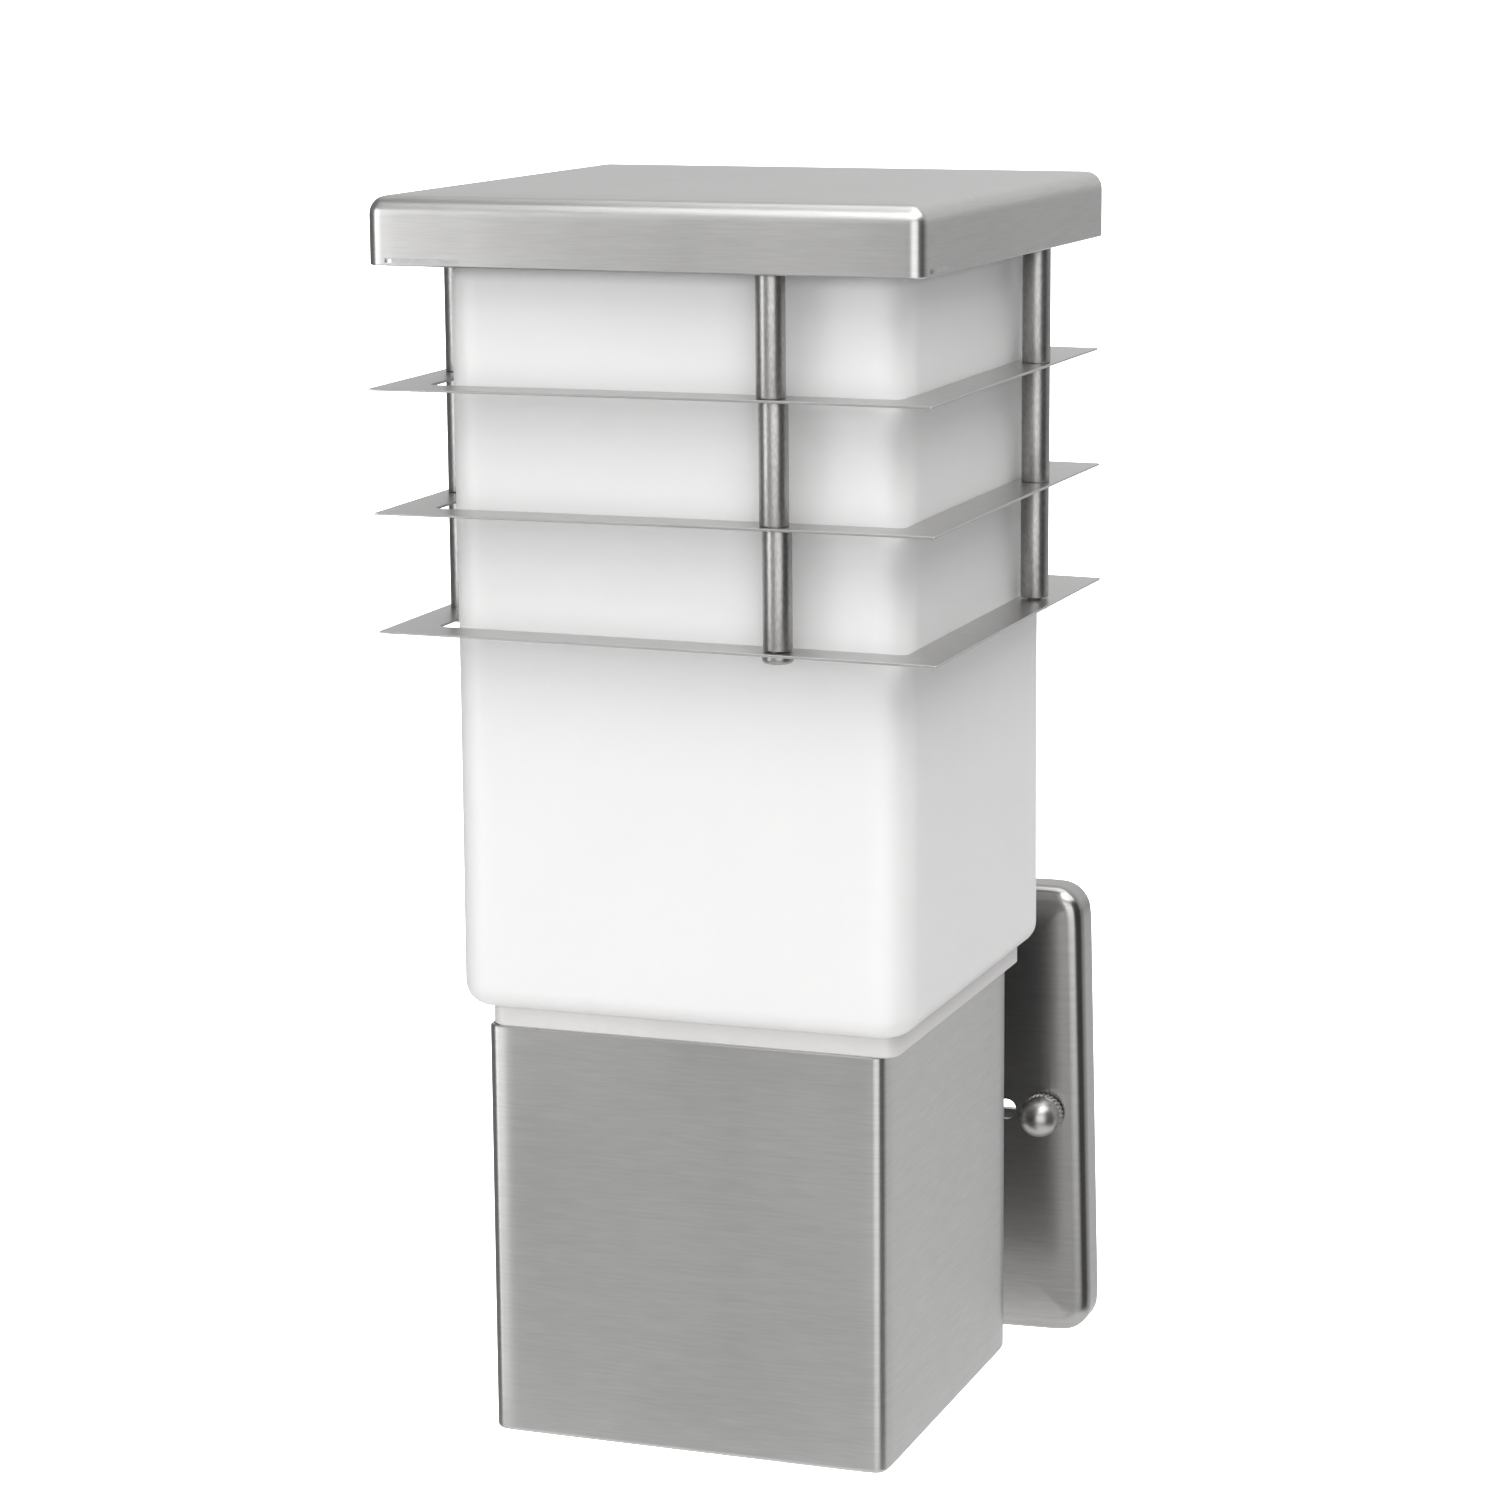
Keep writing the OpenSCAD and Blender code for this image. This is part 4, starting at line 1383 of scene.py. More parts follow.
@dataclass
class Shade:
    """The opal glass and the collar that it stands in.

    Attributes:
        wall: Thickness of the glass.
        corner: Radius of its upright corners.
        foot: Radius round its foot.
        shoulder: Radius round its top.
        neck_half: Half the width of its neck.
        neck_corner: Radius of the neck's corners.
        neck_height: Height of the neck.
        hole: Radius of the hole in its top.
        collar_inner: Half the width of the collar's opening.
        lip_half: Half the width of the collar's lip.
        lip_depth: How far the lip reaches into the box.
        glass_slack: How far the glass sits off to one side, above its neck.
        collar_slack: How far the collar's rim sits off to one side, above its lip.
    """

    wall: float = 3.0 * MM
    corner: float = 9.0 * MM
    foot: float = 6.0 * MM
    shoulder: float = 4.0 * MM
    neck_half: float = 48.0 * MM
    neck_corner: float = 5.0 * MM
    neck_height: float = 18.0 * MM
    hole: float = 6.5 * MM
    collar_inner: float = 48.2 * MM
    lip_half: float = 49.8 * MM
    lip_depth: float = 4.0 * MM
    glass_slack: tuple[float, float] = (1.1 * MM, 0.4 * MM)
    collar_slack: tuple[float, float] = (2.0 * MM, 0.8 * MM)

    def build(self) -> None:
        """Builds the glass and its collar."""
        self.glass()
        self.collar()

    def side(self, inset: float, low: float, high: float) -> list[tuple[float, float, float]]:
        """Returns one skin of the glass from the neck's rim to the hole in the top.

        Args:
            inset: How far this skin lies inside the glass's outside.
            low: Height of this skin's floor.
            high: Height of this skin's top.

        Returns:
            Half width, corner radius and height of each ring.
        """
        box_low, box_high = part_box("glass_shade")
        half = (box_high.x - box_low.x) / 2 - inset
        neck, neck_r = self.neck_half - inset, self.neck_corner - inset
        foot, shoulder = self.foot - inset, self.shoulder - inset
        corner = self.corner - inset
        fillet = 0.8 * MM
        root = low - fillet
        rings = [(neck, neck_r, z) for z in (fillet, self.neck_height * 0.5, root)]
        for out, up in ((0.25 * MM, 0.55 * MM), (fillet, fillet)):
            rings.append((neck + out, neck_r + out, root + up))
        for out, up in arc((0, 0), foot, -90, 0, 8):
            rings.append((half - foot + out, corner - foot + out, low + foot + up))
        straight = high - low - foot - shoulder
        for share in (0.04, 0.2, 0.4, 0.6, 0.8, 0.96):
            rings.append((half, corner, low + foot + straight * share))
        for out, up in arc((0, 0), shoulder, 0, 90, 6):
            rings.append((half - shoulder + out, corner - shoulder + out, high - shoulder + up))
        for share in (0.9, 0.6, 0.3):
            rings.append(((half - shoulder) * share, corner * share + 2 * MM, high))
        return [*rings, (self.hole, self.hole, high)]

    def glass(self) -> None:
        """Builds the glass with its neck, and walls that wander a little, as moulded glass does."""
        low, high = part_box("glass_shade")
        tall = high.z - low.z
        floor = self.neck_height
        outer = self.side(0.0, floor, tall)
        inner = self.side(self.wall, floor + self.wall, tall - self.wall)
        rim = (self.neck_half - self.wall / 2, self.neck_corner - self.wall / 2, 0.0)
        solid = Solid()
        solid.skin(solid.square_rings([*outer, *inner[::-1], rim]), closed=True)

        def wander(point: Vector) -> Vector:
            """Pulls the walls in by up to a fifth of a millimetre, and shifts all above the neck.

            Args:
                point: The point.

            Returns:
                Its new place.
            """
            wave = math.sin(point.z * 41 + 1.0) * math.cos(point.x * 33 + point.y * 27)
            pull = 1 - 0.0012 * (1 + wave)
            share = min(1.0, max(0.0, point.z / self.neck_height - 0.6) / 0.4)
            slack_x, slack_y = self.glass_slack
            return Vector((point.x * pull + slack_x * share, point.y * pull + slack_y * share, point.z))

        mesh = solid.move(wander).mesh(Facing.UP.at((*AXIS, low.z)))
        Delivery("opal_shade", HEAD, ("glass_shade",), OPAL).make(mesh)

    def collar(self) -> None:
        """Builds the milky collar: a rim on the box's edge and a lip down inside it."""
        low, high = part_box("seal_collar")
        half, tall = (high.x - low.x) / 2, high.z - low.z
        lip, inner, rise = self.lip_half, self.collar_inner, self.lip_depth
        soft, fine = 0.7 * MM, 0.3 * MM
        solid = Solid()
        rings = solid.square_rings([
            (inner, 5.0 * MM, fine), (inner + fine, 5.0 * MM, 0.0), (lip - fine, 3.2 * MM, 0.0),
            (lip, 3.0 * MM, fine), (lip, 3.0 * MM, rise), (half - 0.4 * MM, 4.0 * MM, rise),
            (half, 4.0 * MM, rise + 0.4 * MM), (half, 4.0 * MM, rise + 1.6 * MM),
            (half, 4.0 * MM, tall - soft), (half - 0.3 * soft, 3.8 * MM, tall - 0.3 * soft),
            (half - soft, 3.4 * MM, tall), (inner + 0.4 * MM, 5.0 * MM, tall),
            (inner, 5.0 * MM, tall - 0.4 * MM),
        ])
        slack = Vector((*self.collar_slack, 0))

        def settle(point: Vector) -> Vector:
            """Shifts the rim, and leaves the lip in the box.

            Args:
                point: The point.

            Returns:
                Its new place.
            """
            on_rim = point.z > rise - 0.1 * MM and max(abs(point.x), abs(point.y)) > lip
            return point + slack if on_rim else point

        mesh = solid.skin(rings, closed=True).move(settle).mesh(Facing.UP.at((*AXIS, low.z)))
        Delivery("collar_seal", WALL_BODY, ("seal_collar",), SILICONE).make(mesh)


@dataclass
class BaseBox:
    """The base box and the two clamp screws in its back.

    Attributes:
        shop: The shared recipes.
        sheet: Sheet thickness.
        corner: Radius of its upright corners.
        edge: Radius round its underside.
        spring: How far the folded sheet springs out.
        roll: How far its sides fall back beside the corners.
        drain: Radius of the drain holes in its floor.
        clamp_across: Distance of each clamp screw from the middle.
    """

    shop: Workshop
    sheet: float = 1.2 * MM
    corner: float = 3.3 * MM
    edge: float = 1.3 * MM
    spring: float = 0.7 * MM
    roll: float = 0.28 * MM
    drain: float = 2.0 * MM
    clamp_across: float = 30.0 * MM

    def build(self) -> None:
        """Builds the box and its clamp screws."""
        low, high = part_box("base_box")
        half = ((high.x - low.x) / 2 + self.spring, (high.y - low.y) / 2 + self.spring)
        tall = high.z - low.z + self.spring
        pan = Pan(half, tall, self.corner, self.edge, self.sheet, self.roll)
        mesh = pan.mesh(Facing.DOWN.at((*AXIS, high.z)))
        deep = 3 * MM
        clamp_z = middle("clamp_bosses").z
        cutters = []
        for side in (-1, 1):
            drain_at = Facing.UP.at((side * (half[0] - 17 * MM), AXIS.y, low.z))
            cutters.append(plug(self.drain, -2 * MM, deep, 32).mesh(drain_at))
            clamp_at = Facing.IN.at((side * self.clamp_across, high.y, clamp_z))
            cutters.append(plug(3.02 * MM, -deep, deep, 32).mesh(clamp_at))
        cutters.append(plug(ARM_BORE, -deep, deep, 40).mesh(Facing.IN.at((0, high.y, 0))))
        Delivery("box_shell", WALL_BODY, ("base_box",), BRUSHED).make(cut(mesh, cutters))
        for side in ("left", "right"):
            self.clamp(side)
        dress(TURNED, "clamp_bosses")
        dress(NYLON, "clamp_tip_left", "clamp_tip_right")

    def clamp(self, side: str) -> None:
        """Builds one clamp screw: a threaded shank and a domed, slotted head.

        Args:
            side: Left or right.
        """
        node = "clamp_screw_" + side
        low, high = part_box(node)
        centre = middle(node)
        head, rim, slot, slot_depth = 3.0 * MM, 4.0 * MM, 1.0 * MM, 1.2 * MM
        shank = self.shop.thread.m4(high.y - low.y - head, 0.35 * MM)
        profile = [(PIN, -0.02 * MM), (3.6 * MM, 0.0), (rim, 0.3 * MM), (rim, 1.4 * MM)]
        profile += arc((2.2 * MM, 1.2 * MM), 1.8 * MM, 10, 90, 6) + [(PIN, head)]
        x, y = rim + MM, slot / 2
        outline = [(-x, -y), (x, -y), (x, y), (-x, y)]
        blade = Solid().prism(outline, head - slot_depth, head + MM).mesh()
        top = cut(Solid().lathe(profile, 36).mesh(), [blade])
        top.transform(Matrix.Translation((0, 0, high.y - low.y - head)))
        mesh = join([shank, top])
        mesh.transform(Facing.IN.at((centre.x, low.y, centre.z)))
        Delivery(node + "_slotted", "clamp_" + side, (node,), ZINC).make(mesh)


@dataclass
class WallMount:
    """The wall plate, what is behind it, the knob nuts and the arm.

    Attributes:
        shop: The shared recipes.
        sheet: Thickness of the plate.
        corner: Radius of its corners.
        edge: Radius round its face.
        stud: Distance of each stud from the middle.
        spare: Distance of each spare hole from the middle.
        tilt: Degrees that the plate hangs turned on its studs.
        pivot: Right and up from the middle, the point that it turned about.
        spring: How far the pressed rim springs out, up and down.
        roll: How far its sides fall back beside the corners.
        fall: How far its face drops towards the rim.
    """

    shop: Workshop
    sheet: float = 1.2 * MM
    corner: float = 8.0 * MM
    edge: float = 4.0 * MM
    stud: float = 50.8 * MM
    spare: float = 40.0 * MM
    tilt: float = -1.4
    pivot: tuple[float, float] = (55.0 * MM, 27.0 * MM)
    spring: float = 0.8 * MM
    roll: float = 0.15 * MM
    fall: float = 0.8 * MM

    def build(self) -> None:
        """Builds the plate, the studs, the arm and the knobs."""
        low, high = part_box("wall_plate")
        half = ((high.x - low.x) / 2, (high.z - low.z) / 2 + self.spring)
        depth = high.y - low.y
        pan = Pan(half, depth, self.corner, self.edge, self.sheet, self.roll, self.fall)
        mesh = pan.mesh(self.hung() @ Facing.OUT.at((0, high.y, 0)))
        holes = [(0, ARM_BORE)]
        for side in (-1, 1):
            holes += [(side * self.stud, 2.5 * MM), (side * self.spare, 2.8 * MM)]
        deep = 3 * MM
        cutters = [plug(r, -deep, deep, 40).mesh(Facing.OUT.at((x, low.y, 0))) for x, r in holes]
        # The plate takes the darker copy of the brushed steel, with painted shade in its colour.
        Delivery("plate_cover", WALL_BODY, ("wall_plate",), PLATE_SHADE_STEEL).make(cut(mesh, cutters))
        self.seal()
        self.studs()
        self.arm()
        for side in ("left", "right"):
            self.knob(side)
        dress(ZINC, "mounting_bar")
        dress(RUBBER, "knob_washer_left", "knob_washer_right")

    def hung(self) -> Matrix:
        """Returns the turn of the plate as it hangs on its studs."""
        pivot = Matrix.Translation((self.pivot[0], 0, self.pivot[1]))
        return pivot @ Matrix.Rotation(math.radians(self.tilt), 4, "Y") @ pivot.inverted()

    def seal(self) -> None:
        """Builds the foam gasket inside the plate's rim."""
        low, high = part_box("plate_gasket")
        half = ((high.x - low.x) / 2, (high.z - low.z) / 2)
        width, soft, thick = 6.0 * MM, 0.3 * MM, high.y - low.y
        section = [(0, soft), (soft, 0), (width - soft, 0), (width, soft)]
        section += [(width, thick - soft), (width - soft, thick), (soft, thick), (0, thick - soft)]
        solid = Solid()
        rings = []
        for inset, z in section:
            loop = Loop((half[0] - inset, half[1] - inset), self.corner - inset, z)
            rings.append(solid.ring(loop.points()))
        place = self.hung() @ Facing.OUT.at((0, high.y, 0))
        mesh = solid.skin(rings, closed=True).mesh(place)
        Delivery("foam_seal", WALL_BODY, ("plate_gasket",), RUBBER).make(mesh)

    def studs(self) -> None:
        """Builds the two threaded studs and the nuts that lock them in the bar."""
        low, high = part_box("mount_studs")
        nut_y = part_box("stud_nuts")[1].y
        studs, nuts = [], []
        for side in (-1, 1):
            rod = self.shop.thread.m4(high.y - low.y)
            rod.transform(Facing.OUT.at((side * self.stud, high.y, 0)))
            studs.append(rod)
            place = Facing.OUT.at((side * self.stud, nut_y, 0))
            nuts.append(hex_nut(7.0 * MM, M4_BORE, 3.2 * MM, place))
        Delivery("studs_threaded", WALL_BODY, ("mount_studs",), ZINC).make(join(studs))
        Delivery("stud_hex_nuts", WALL_BODY, ("stud_nuts",), ZINC).make(join(nuts))

    def arm(self) -> None:
        """Builds the arm tube, and the threaded tube, nuts and washers inside it."""
        low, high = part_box("arm_tube")
        outer = 12.5 * MM
        profile = ring_profile(outer, outer - 1.2 * MM, 0.0, high.y - low.y, 0.3 * MM)
        sleeve = Solid().lathe(profile, 64, closed=True).mesh(Facing.OUT.at((0, high.y, 0)))
        Delivery("arm_sleeve", WALL_BODY, ("arm_tube",), BRUSHED).make(sleeve)
        low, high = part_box("arm_nipple")
        tube = self.shop.thread.pipe(6.5 * MM, 4.8 * MM, high.y - low.y)
        tube.transform(Facing.OUT.at((0, high.y, 0)))
        Delivery("arm_threaded_tube", WALL_BODY, ("arm_nipple",), BRASS).make(tube)
        low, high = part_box("arm_nuts")
        thick = 3.5 * MM
        places = [Facing.OUT.at((0, y, 0)) for y in (high.y, low.y + thick)]
        nuts = [hex_nut(19.0 * MM, 6.52 * MM, thick, place) for place in places]
        Delivery("arm_hex_nuts", WALL_BODY, ("arm_nuts",), ZINC).make(join(nuts))
        low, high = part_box("arm_washers")
        thick = 0.8 * MM
        profile = ring_profile(10.8 * MM, ARM_BORE, 0.0, thick, 0.2 * MM)
        places = [Facing.OUT.at((0, y, 0)) for y in (high.y, low.y + thick)]
        washers = [Solid().lathe(profile, 56, closed=True).mesh(place) for place in places]
        Delivery("arm_flat_washers", WALL_BODY, ("arm_washers",), ZINC).make(join(washers))

    def knob(self, side: str) -> None:
        """Builds one ball nut with a roped rim.

        Args:
            side: Left or right.
        """
        node = "knob_nut_" + side
        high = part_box(node)[1]
        centre = middle(node)
        rim, rim_high = 5.35 * MM, 2.6 * MM
        ball, ball_high = 5.3 * MM, 4.4 * MM
        bore, bore_end = 2.05 * MM, 7.0 * MM
        start = math.degrees(math.asin((rim_high - ball_high) / ball))
        profile = [(PIN, bore_end), (bore, bore_end), (bore, 0.4 * MM), (2.4 * MM, 0.0)]
        profile += [(rim - 0.4 * MM, 0.0), (rim, 0.35 * MM), (rim, rim_high - 0.3 * MM)]
        profile += [(rim - 0.15 * MM, rim_high), *arc((0.0, ball_high), ball, start + 4, 89.9, 22)]
        body = Solid().lathe(profile, 56).mesh()
        mesh = join([body, self.roping(rim - 0.03 * MM, rim_high)])
        mesh.transform(Facing.OUT.at((centre.x, high.y, centre.z)))
        Delivery(node + "_ball", "knob_" + side, (node,), POLISHED, sharp=38).make(mesh)

    def roping(self, radius: float, tall: float) -> bpy.types.Mesh:
        """Makes the slanting ridges round a knob's rim.

        Args:
            radius: The rim's radius, where the ridges stand.
            tall: The rim's height.

        Returns:
            The ridges as one mesh.
        """
        slant, margin = 0.55 * MM, 0.15 * MM
        full, thin = 0.36 * MM, 0.16 * MM
        ridge = Solid()
        rings = []
        for share, thick in ((0.0, thin), (0.12, full), (0.88, full), (1.0, thin)):
            z = margin + share * (tall - 2 * margin)
            centre = Vector((radius, slant * (share - 0.5), z))
            outline = [centre + Vector((point.x, point.y * 1.3, 0)) for point in circle(thick, 0, 8)]
            rings.append(ridge.ring(outline))
        values = {"Copies": 28, "Centre": (0.0, 0.0, 0.0)}
        return self.shop.around.make(ridge.skin(rings).mesh(), POLISHED, values)


@dataclass
class LampAndHolder:
    """The porcelain lampholder, its bracket and the lamp.

    Attributes:
        shop: The shared recipes.
        holder_radius: Radius of the porcelain body.
        holder_bore: Radius of the hole in it.
        holder_floor: Height of the hole's floor.
        globe_radius: Radius of the lamp's globe.
        neck_radius: Radius of the globe's neck.
        neck_height: Height of the neck's straight part.
        joint: Angle on the globe, in degrees, where the cone below meets it.
    """

    shop: Workshop
    holder_radius: float = 19.0 * MM
    holder_bore: float = 15.0 * MM
    holder_floor: float = 9.5 * MM
    globe_radius: float = 30.0 * MM
    neck_radius: float = 12.6 * MM
    neck_height: float = 5.0 * MM
    joint: float = -38.3

    def build(self) -> None:
        """Builds the holder and the lamp."""
        self.holder()
        self.lamp()
        dress(ZINC, "holder_bracket", "holder_screws")
        dress(BRASS, "holder_contact", "lamp_contact")

    def holder(self) -> None:
        """Builds the porcelain body, with glazed soft edges and a waist, and its threaded shell."""
        low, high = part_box("holder_body")
        tall = high.z - low.z
        outer, bore, floor, soft = self.holder_radius, self.holder_bore, self.holder_floor, 1.2 * MM
        waist, flare = outer - 0.8 * MM, MM
        profile = [(PIN, 0.0), *arc((outer - soft, soft), soft, -90, 0, 5)]
        profile += [(outer, 10 * MM), (waist, 10 * MM + flare), (waist, 24 * MM), (outer, 24 * MM + flare)]
        profile += arc((outer - soft, tall - soft), soft, 0, 90, 5)
        profile += arc((bore + soft, tall - soft), soft, 90, 180, 5)
        profile += [(bore, floor), (PIN, floor)]
        mesh = Solid().lathe(profile, 64).mesh(Facing.UP.at((*AXIS, low.z)))
        Delivery("holder_porcelain", WALL_BODY, ("holder_body",), PORCELAIN).make(mesh)
        self.shell()

    def shell(self) -> None:
        """Builds the holder's thin threaded shell, as two skins joined at both ends."""
        low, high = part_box("holder_shell")
        tall = high.z - low.z
        outside = self.shop.thread.rod(14.4 * MM, tall, LAMP_PITCH, 0.7 * MM, BRASS, closed=False)
        inside = outside.copy()
        inside.transform(Matrix.Diagonal((0.965, 0.965, 1.0, 1.0)))
        inside.flip_normals()
        shell = join([outside, inside])
        shell.transform(Facing.UP.at((*AXIS, low.z)))
        bm = bmesh.new()
        bm.from_mesh(shell)
        edges = [edge for edge in bm.edges if edge.is_boundary]
        for z in (low.z, high.z):
            rim = [edge for edge in edges if all(abs(vert.co.z - z) < 1e-5 for vert in edge.verts)]
            bmesh.ops.bridge_loops(bm, edges=rim)
        bmesh.ops.recalc_face_normals(bm, faces=bm.faces)
        bm.to_mesh(shell)
        bm.free()
        Delivery("holder_thread", WALL_BODY, ("holder_shell",), BRASS).make(shell)

    def lamp(self) -> None:
        """Builds the globe, the threaded cap and the insulator."""
        low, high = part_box("lamp_globe")
        globe = Solid().lathe(self.globe_profile(high.z - low.z), 64)
        mesh = globe.mesh(Facing.UP.at((*AXIS, low.z)))
        Delivery("lamp_glass_globe", "lamp", ("lamp_globe",), LAMP_GLASS).make(mesh)
        low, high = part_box("lamp_cap")
        cap = self.shop.thread.rod(13.1 * MM, high.z - low.z, LAMP_PITCH, 0.8 * MM, BRASS)
        cap.transform(Facing.UP.at((*AXIS, low.z)))
        Delivery("lamp_cap_threaded", "lamp", ("lamp_cap",), BRASS).make(cap)
        low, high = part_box("lamp_insulator")
        tall = high.z - low.z
        profile = [(PIN, 0.0), (4.0 * MM, 0.0), (6.5 * MM, 0.35 * MM)]
        profile += arc((9.4 * MM, 1.6 * MM), 1.5 * MM, -60, 20, 5)
        profile += [(10.9 * MM, tall), (PIN, tall)]
        mesh = Solid().lathe(profile, 48).mesh(Facing.UP.at((*AXIS, low.z)))
        Delivery("lamp_insulator_glass", "lamp", ("lamp_insulator",), LAMP_BLACK).make(mesh)

    def globe_profile(self, tall: float) -> list[tuple[float, float]]:
        """Returns the lamp's outline: a straight neck, a swelling cone and a round globe.

        Args:
            tall: The globe's height with its neck.

        Returns:
            Radius and height of each point.
        """
        radius, neck, start = self.globe_radius, self.neck_radius, self.neck_height
        dome = arc((0.0, tall - radius), radius, self.joint, 89.9, 26)
        joint_r, joint_z = dome[0]
        profile = [(PIN, 0.2 * MM), (neck - 0.4 * MM, 0.2 * MM), (neck, 0.8 * MM), (neck, start)]
        for k in range(1, 12):
            share = k / 12
            ease = share * share * (3 - 2 * share)
            swell = 0.35 * ease + 0.65 * share
            profile.append((neck + (joint_r - neck) * swell, start + (joint_z - start) * share))
        return profile + dome


@dataclass
class Wiring:
    """The leads, the earth terminal and screw, and the wire connectors.

    Attributes:
        shop: The shared recipes.
        radius: Radius of a lead.
        lamp_route: Points in millimetres from the lampholder to the arm, from the lantern's axis.
        wall_route: Points in millimetres from the arm to a connector.
        earth_drop: Points in millimetres, out and up, below the earth terminal.
    """

    shop: Workshop
    radius: float = 1.1 * MM
    lamp_route: tuple[tuple[float, float, float], ...] = (
        (7, 0, 14.5), (7, 0, 9), (6.6, 2, 4), (5.4, 8, 0.8), (3.6, 16, 0), (2.2, 24, 0), (1.8, 32, 0),
    )
    wall_route: tuple[tuple[float, float, float], ...] = (
        (1.8, -30, 0), (1.8, -7.5, 0), (1.8, -4.6, -0.7), (2, -3.2, -3), (2.6, -3.3, -7), (4.2, -3.9, -11),
        (6.6, -5.2, -15), (8.4, -6.2, -18.4), (9, -6.4, -20.4), (9, -6.4, -22),
    )
    earth_drop: tuple[tuple[float, float], ...] = (
        (-3.4, -12.4), (-4.4, -16), (-5.9, -19), (-6.4, -20.6), (-6.4, -22),
    )

    def build(self) -> None:
        """Builds the leads and connectors, and dresses the earth's own parts."""
        axis_y = AXIS.y / MM
        for side, node, finish in ((1, "lead_live", BLACK_LEAD), (-1, "lead_neutral", WHITE_LEAD)):
            points = [(side * x, y + axis_y, z) for x, y, z in self.lamp_route]
            points += [(side * x, y, z) for x, y, z in self.wall_route]
            self.lead(node, points, finish)
        x = middle("earth_lead").x / MM
        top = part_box("earth_lead")[1].z / MM
        points = [(x, y, z) for y, z in ((self.earth_drop[0][0], top), *self.earth_drop)]
        self.lead("earth_lead", points, GREEN_LEAD)
        end = self.wall_route[-1][0]
        self.connectors((-end * MM, end * MM, x * MM))
        dress(GREEN_LEAD, "earth_screw")
        dress(BRASS, "earth_terminal")

    def lead(self, node: str, points: Sequence[tuple[float, float, float]], finish: Finish) -> None:
        """Builds one lead along its route.

        Args:
            node: The lead's CAD node.
            points: Its route in millimetres.
            finish: Its insulation.
        """
        route = [tuple(part * MM for part in point) for point in points]
        mesh = self.shop.route.tube(route, self.radius, finish)
        Delivery(node + "_wire", WALL_BODY, (node,), finish, upright=True).make(mesh)

    def connectors(self, places: Sequence[float]) -> None:
        """Builds the twist-on wire connectors: ribbed cones with a flared skirt.

        Args:
            places: How far each stands to the right of the middle.
        """
        low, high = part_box("wire_connectors")
        centre_y = (low.y + high.y) / 2
        cone = self.connector(high.z - low.z)
        copies = []
        for x in places:
            copy = cone.copy()
            copy.transform(Facing.UP.at((x, centre_y, low.z)))
            copies.append(copy)
        Delivery("twist_connectors", WALL_BODY, ("wire_connectors",), CONNECTOR).make(join(copies))

    def connector(self, tall: float) -> bpy.types.Mesh:
        """Makes one connector, closed end down.

        Args:
            tall: Its height.

        Returns:
            The connector's mesh.
        """
        skirt, mouth, recess = 3.55 * MM, 2.6 * MM, 1.2 * MM
        profile = [(PIN, 0.0), (1.7 * MM, 0.0), (2.2 * MM, 0.5 * MM), (2.5 * MM, 4 * MM)]
        profile += [(3.0 * MM, 11 * MM), (3.3 * MM, 13 * MM), (skirt, 14.2 * MM)]
        profile += [(skirt, tall - 0.3 * MM), (3.3 * MM, tall), (mouth, tall)]
        profile += [(2.2 * MM, tall - recess), (PIN, tall - recess)]
        rib = Solid()
        rings = []
        half, root, crown = 0.22 * MM, 0.5 * MM, 0.12 * MM
        for radius, z in ((2.2 * MM, MM), (2.75 * MM, 4 * MM), (3.2 * MM, 10.5 * MM), (3.2 * MM, 12 * MM)):
            inside = radius - root
            back, top = [(inside, -half), (radius, -half)], (radius + crown, 0)
            outline = [*back, top, (radius, half), (inside, half)]
            rings.append(rib.ring([Vector((x, y, z)) for x, y in outline]))
        values = {"Copies": 10, "Centre": (0.0, 0.0, 0.0)}
        ribs = self.shop.around.make(rib.skin(rings).mesh(), CONNECTOR, values)
        return join([Solid().lathe(profile, 32).mesh(), ribs])


# ---- Studio ----


@dataclass
class Softbox:
    """A rectangular studio light aimed at the lantern.

    Attributes:
        name: The light's name.
        azimuth: Degrees from straight in front, towards the right.
        elevation: Degrees above the horizon.
        size: Its width and height.
        glow: The brightness of its face.
        distance: Its distance from the lantern.
    """

    name: str
    azimuth: float
    elevation: float
    size: tuple[float, float]
    glow: float
    distance: float = 1.6

    def place(self, target: Vector) -> None:
        """Adds the light.

        Args:
            target: The point that it faces.
        """
        light = bpy.data.lights.new(self.name, "AREA")
        light.shape = "RECTANGLE"
        light.size, light.size_y = self.size
        light.energy = self.glow * math.pi * self.size[0] * self.size[1]
        obj = bpy.data.objects.new(self.name, light)
        bpy.context.scene.collection.objects.link(obj)
        azimuth, elevation = math.radians(self.azimuth), math.radians(self.elevation)
        flat = math.cos(elevation)
        away = Vector((math.sin(azimuth) * flat, -math.cos(azimuth) * flat, math.sin(elevation)))
        obj.location = target + away * self.distance
        obj.rotation_euler = away.to_track_quat("Z", "Y").to_euler()


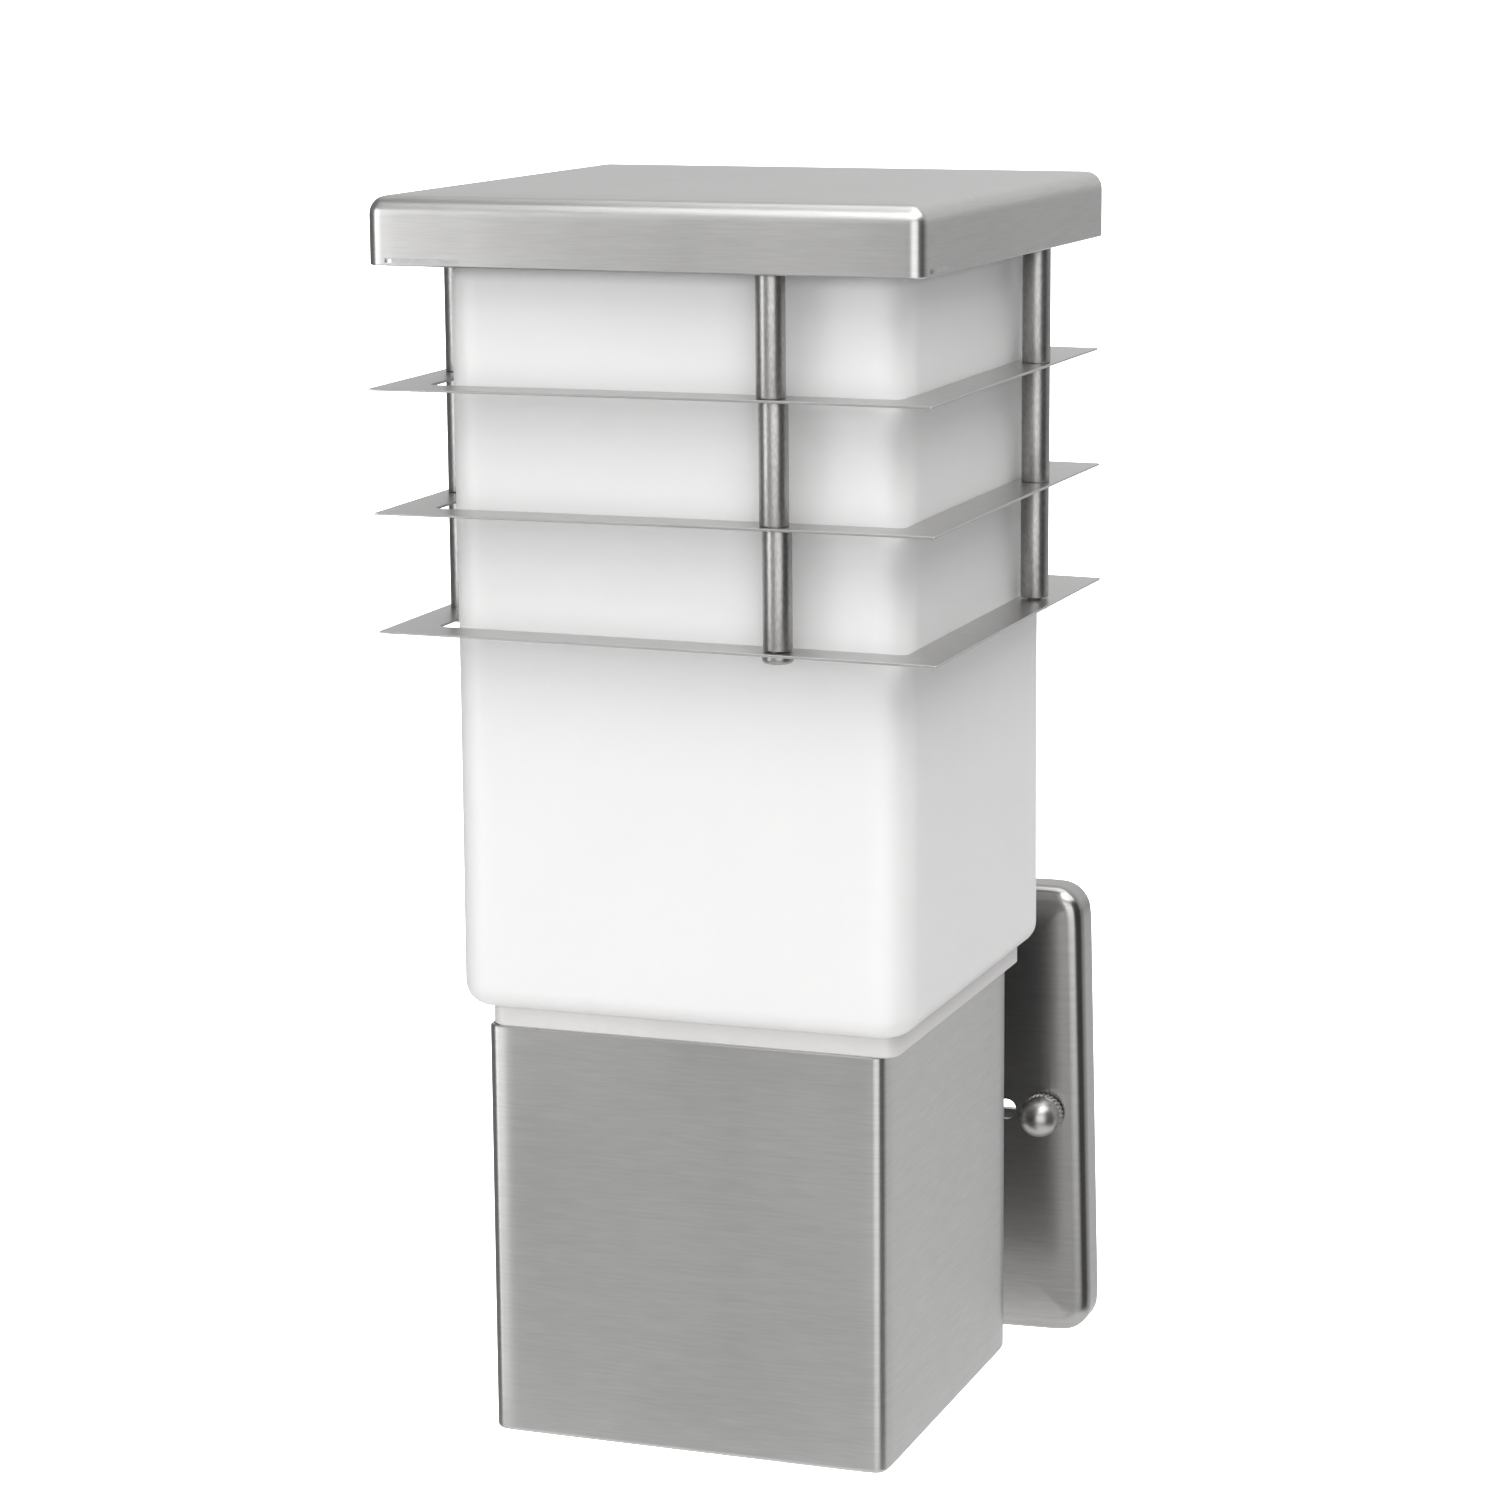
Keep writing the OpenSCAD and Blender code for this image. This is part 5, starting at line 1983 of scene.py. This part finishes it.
@dataclass
class Studio:
    """Camera, lights, floor and surroundings.

    Attributes:
        azimuth: The camera's side, in degrees from straight in front.
        elevation: Degrees that it looks down.
        roll: Its roll in degrees.
        distance: Its distance from the target.
        lens: Its focal length in millimetres.
        sensor: Its sensor's width in millimetres.
        target_y: How far out from the wall, as a negative, the point is that it looks at.
        target_z: Height of that point.
        floor_z: Height of the floor.
        floor_radius: Radius of the floor.
        fade: Distances from the lantern's axis where the floor starts to fade and is gone.
        backdrop: Strength of the white round the lantern.
    """

    azimuth: float = 20.1117
    elevation: float = 10.9951
    roll: float = -0.4442
    distance: float = 1.0756
    lens: float = 103.19
    sensor: float = 36.0
    target_y: float = -0.1028
    target_z: float = 0.1137
    floor_z: float = -0.30
    floor_radius: float = 3.0
    fade: tuple[float, float] = (0.3, 0.58)
    backdrop: float = 3.2

    def build(self) -> None:
        """Sets up the whole studio."""
        self.camera()
        self.surroundings()
        self.floor()
        target = Vector((0, self.target_y, self.target_z))
        for box in (
            Softbox("key_left", -43, 5, (0.6, 1.3), 2.9),
            Softbox("fill_right", 28, 4, (1.4, 1.2), 1.45),
            Softbox("right_high", 78, 56, (1.4, 1.0), 2.5),
            Softbox("front_high", 8, 57, (1.6, 1.2), 2.2),
            Softbox("top", 180, 80, (1.2, 1.2), 1.5),
        ):
            box.place(target)
        settings = bpy.context.scene.view_settings
        settings.view_transform = "Standard"
        settings.look = "None"

    def camera(self) -> None:
        """Adds the camera."""
        data = bpy.data.cameras.new("camera")
        data.lens = self.lens
        data.sensor_width = self.sensor
        data.clip_end = 100.0
        camera = bpy.data.objects.new("camera", data)
        bpy.context.scene.collection.objects.link(camera)
        turn = Matrix.Rotation(math.radians(self.azimuth), 4, "Z")
        turn @= Matrix.Rotation(math.radians(90 - self.elevation), 4, "X")
        turn @= Matrix.Rotation(math.radians(self.roll), 4, "Z")
        target = Vector((0, self.target_y, self.target_z))
        away = turn.to_3x3() @ Vector((0, 0, self.distance))
        camera.matrix_world = Matrix.Translation(target + away) @ turn
        bpy.context.scene.camera = camera

    def surroundings(self) -> None:
        """Lays soft greys round the horizon for the metal to reflect, on a white backdrop."""
        world = bpy.data.worlds.new("studio")
        world.use_nodes = True
        bpy.context.scene.world = world
        graph = Graph(world.node_tree)
        direction = graph.node("ShaderNodeTexCoord").outputs["Generated"]
        way = graph.node("ShaderNodeSeparateXYZ", None, {0: direction})
        front = graph.out(way, "Y") * -1.0
        around = graph.out(way, "X").math("ARCTAN2", front) / TAU + 0.5
        stops = [
            (0.0, 0.40), (0.1, 0.31), (0.18, 0.13), (0.31, 0.10), (0.37, 0.19), (0.44, 0.30),
            (0.58, 0.32), (0.64, 0.22), (0.68, 0.04), (0.77, 0.05), (0.84, 0.29), (0.94, 0.38),
            (1.0, 0.40),
        ]
        ramp = graph.node("ShaderNodeValToRGB", {"stops": stops}, {0: around})
        ramp.color_ramp.interpolation = "EASE"
        seen = graph.out(graph.node("ShaderNodeLightPath"), "Is Camera Ray")
        off_level = (graph.out(way, "Z") + 0.07).math("ABSOLUTE")
        lift = 0.85 + 2.0 * off_level.math("MINIMUM", 0.25)
        glow = graph.blend(lift * 0.5, (0.0, 0.0, 0.0, 1.0), graph.out(ramp))
        colour = graph.blend(seen, glow, (1.0, 1.0, 1.0, 1.0))
        background = world.node_tree.nodes["Background"]
        background.inputs["Strength"].default_value = self.backdrop
        graph.tree.links.new(colour.socket, background.inputs["Color"])

    def floor(self) -> None:
        """Adds a pale round floor that fades into the backdrop."""
        radius, thick = self.floor_radius, 2 * MM
        profile = [(MM, 0.0), (0.6, 0.0), (1.4, 0.0), (radius, 0.0), (radius, -thick), (MM, -thick)]
        mesh = Solid().lathe(profile, 96).mesh(Facing.UP.at((*AXIS, self.floor_z)))
        floor = bpy.data.objects.new("studio_floor", mesh)
        bpy.context.scene.collection.objects.link(floor)
        material = bpy.data.materials.new("floor_white")
        material.use_nodes = True
        graph = Graph(material.node_tree)
        shader = material.node_tree.nodes["Principled BSDF"]
        place = graph.out(graph.node("ShaderNodeTexCoord"), "Object")
        tone = graph.noise(place, 3.0, 4.0)
        colour = graph.blend(tone, (0.93, 0.93, 0.93, 1.0), (0.97, 0.97, 0.97, 1.0))
        graph.tree.links.new(colour.socket, shader.inputs["Base Color"])
        shader.inputs["Roughness"].default_value = 0.9
        flat = graph.scaled(place, (1, 1, 0))
        reach = graph.out(graph.node("ShaderNodeVectorMath", {"operation": "LENGTH"}, {0: flat}), "Value")
        alpha = graph.spread(reach, 1.0, 0.0, *self.fade)
        graph.tree.links.new(alpha.socket, shader.inputs["Alpha"])
        mesh.materials.append(material)
        floor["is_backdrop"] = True


def write_sizes() -> None:
    """Works out the CAD model's box and the visual model's box, without writing them anywhere."""
    boxes = {"cad": CAD_BOX, "visual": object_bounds()}
    plain = {name: [[float(part) for part in corner] for corner in box] for name, box in boxes.items()}


def main() -> None:
    """Builds the studio, then each sub-assembly in order."""
    logging.basicConfig(level=logging.INFO, format="%(name)s: %(message)s")
    Studio().build()
    shop = Workshop(Around(), Thread(), Route())
    assemblies = (
        WallMount(shop),
        BaseBox(shop),
        Wiring(shop),
        LampAndHolder(shop),
        Shade(),
        LouvreStack(shop),
        CapAssembly(shop),
    )
    for assembly in assemblies:
        LOG.info("building %s", type(assembly).__name__)
        assembly.build()
    write_sizes()


if __name__ == "__main__":
    main()
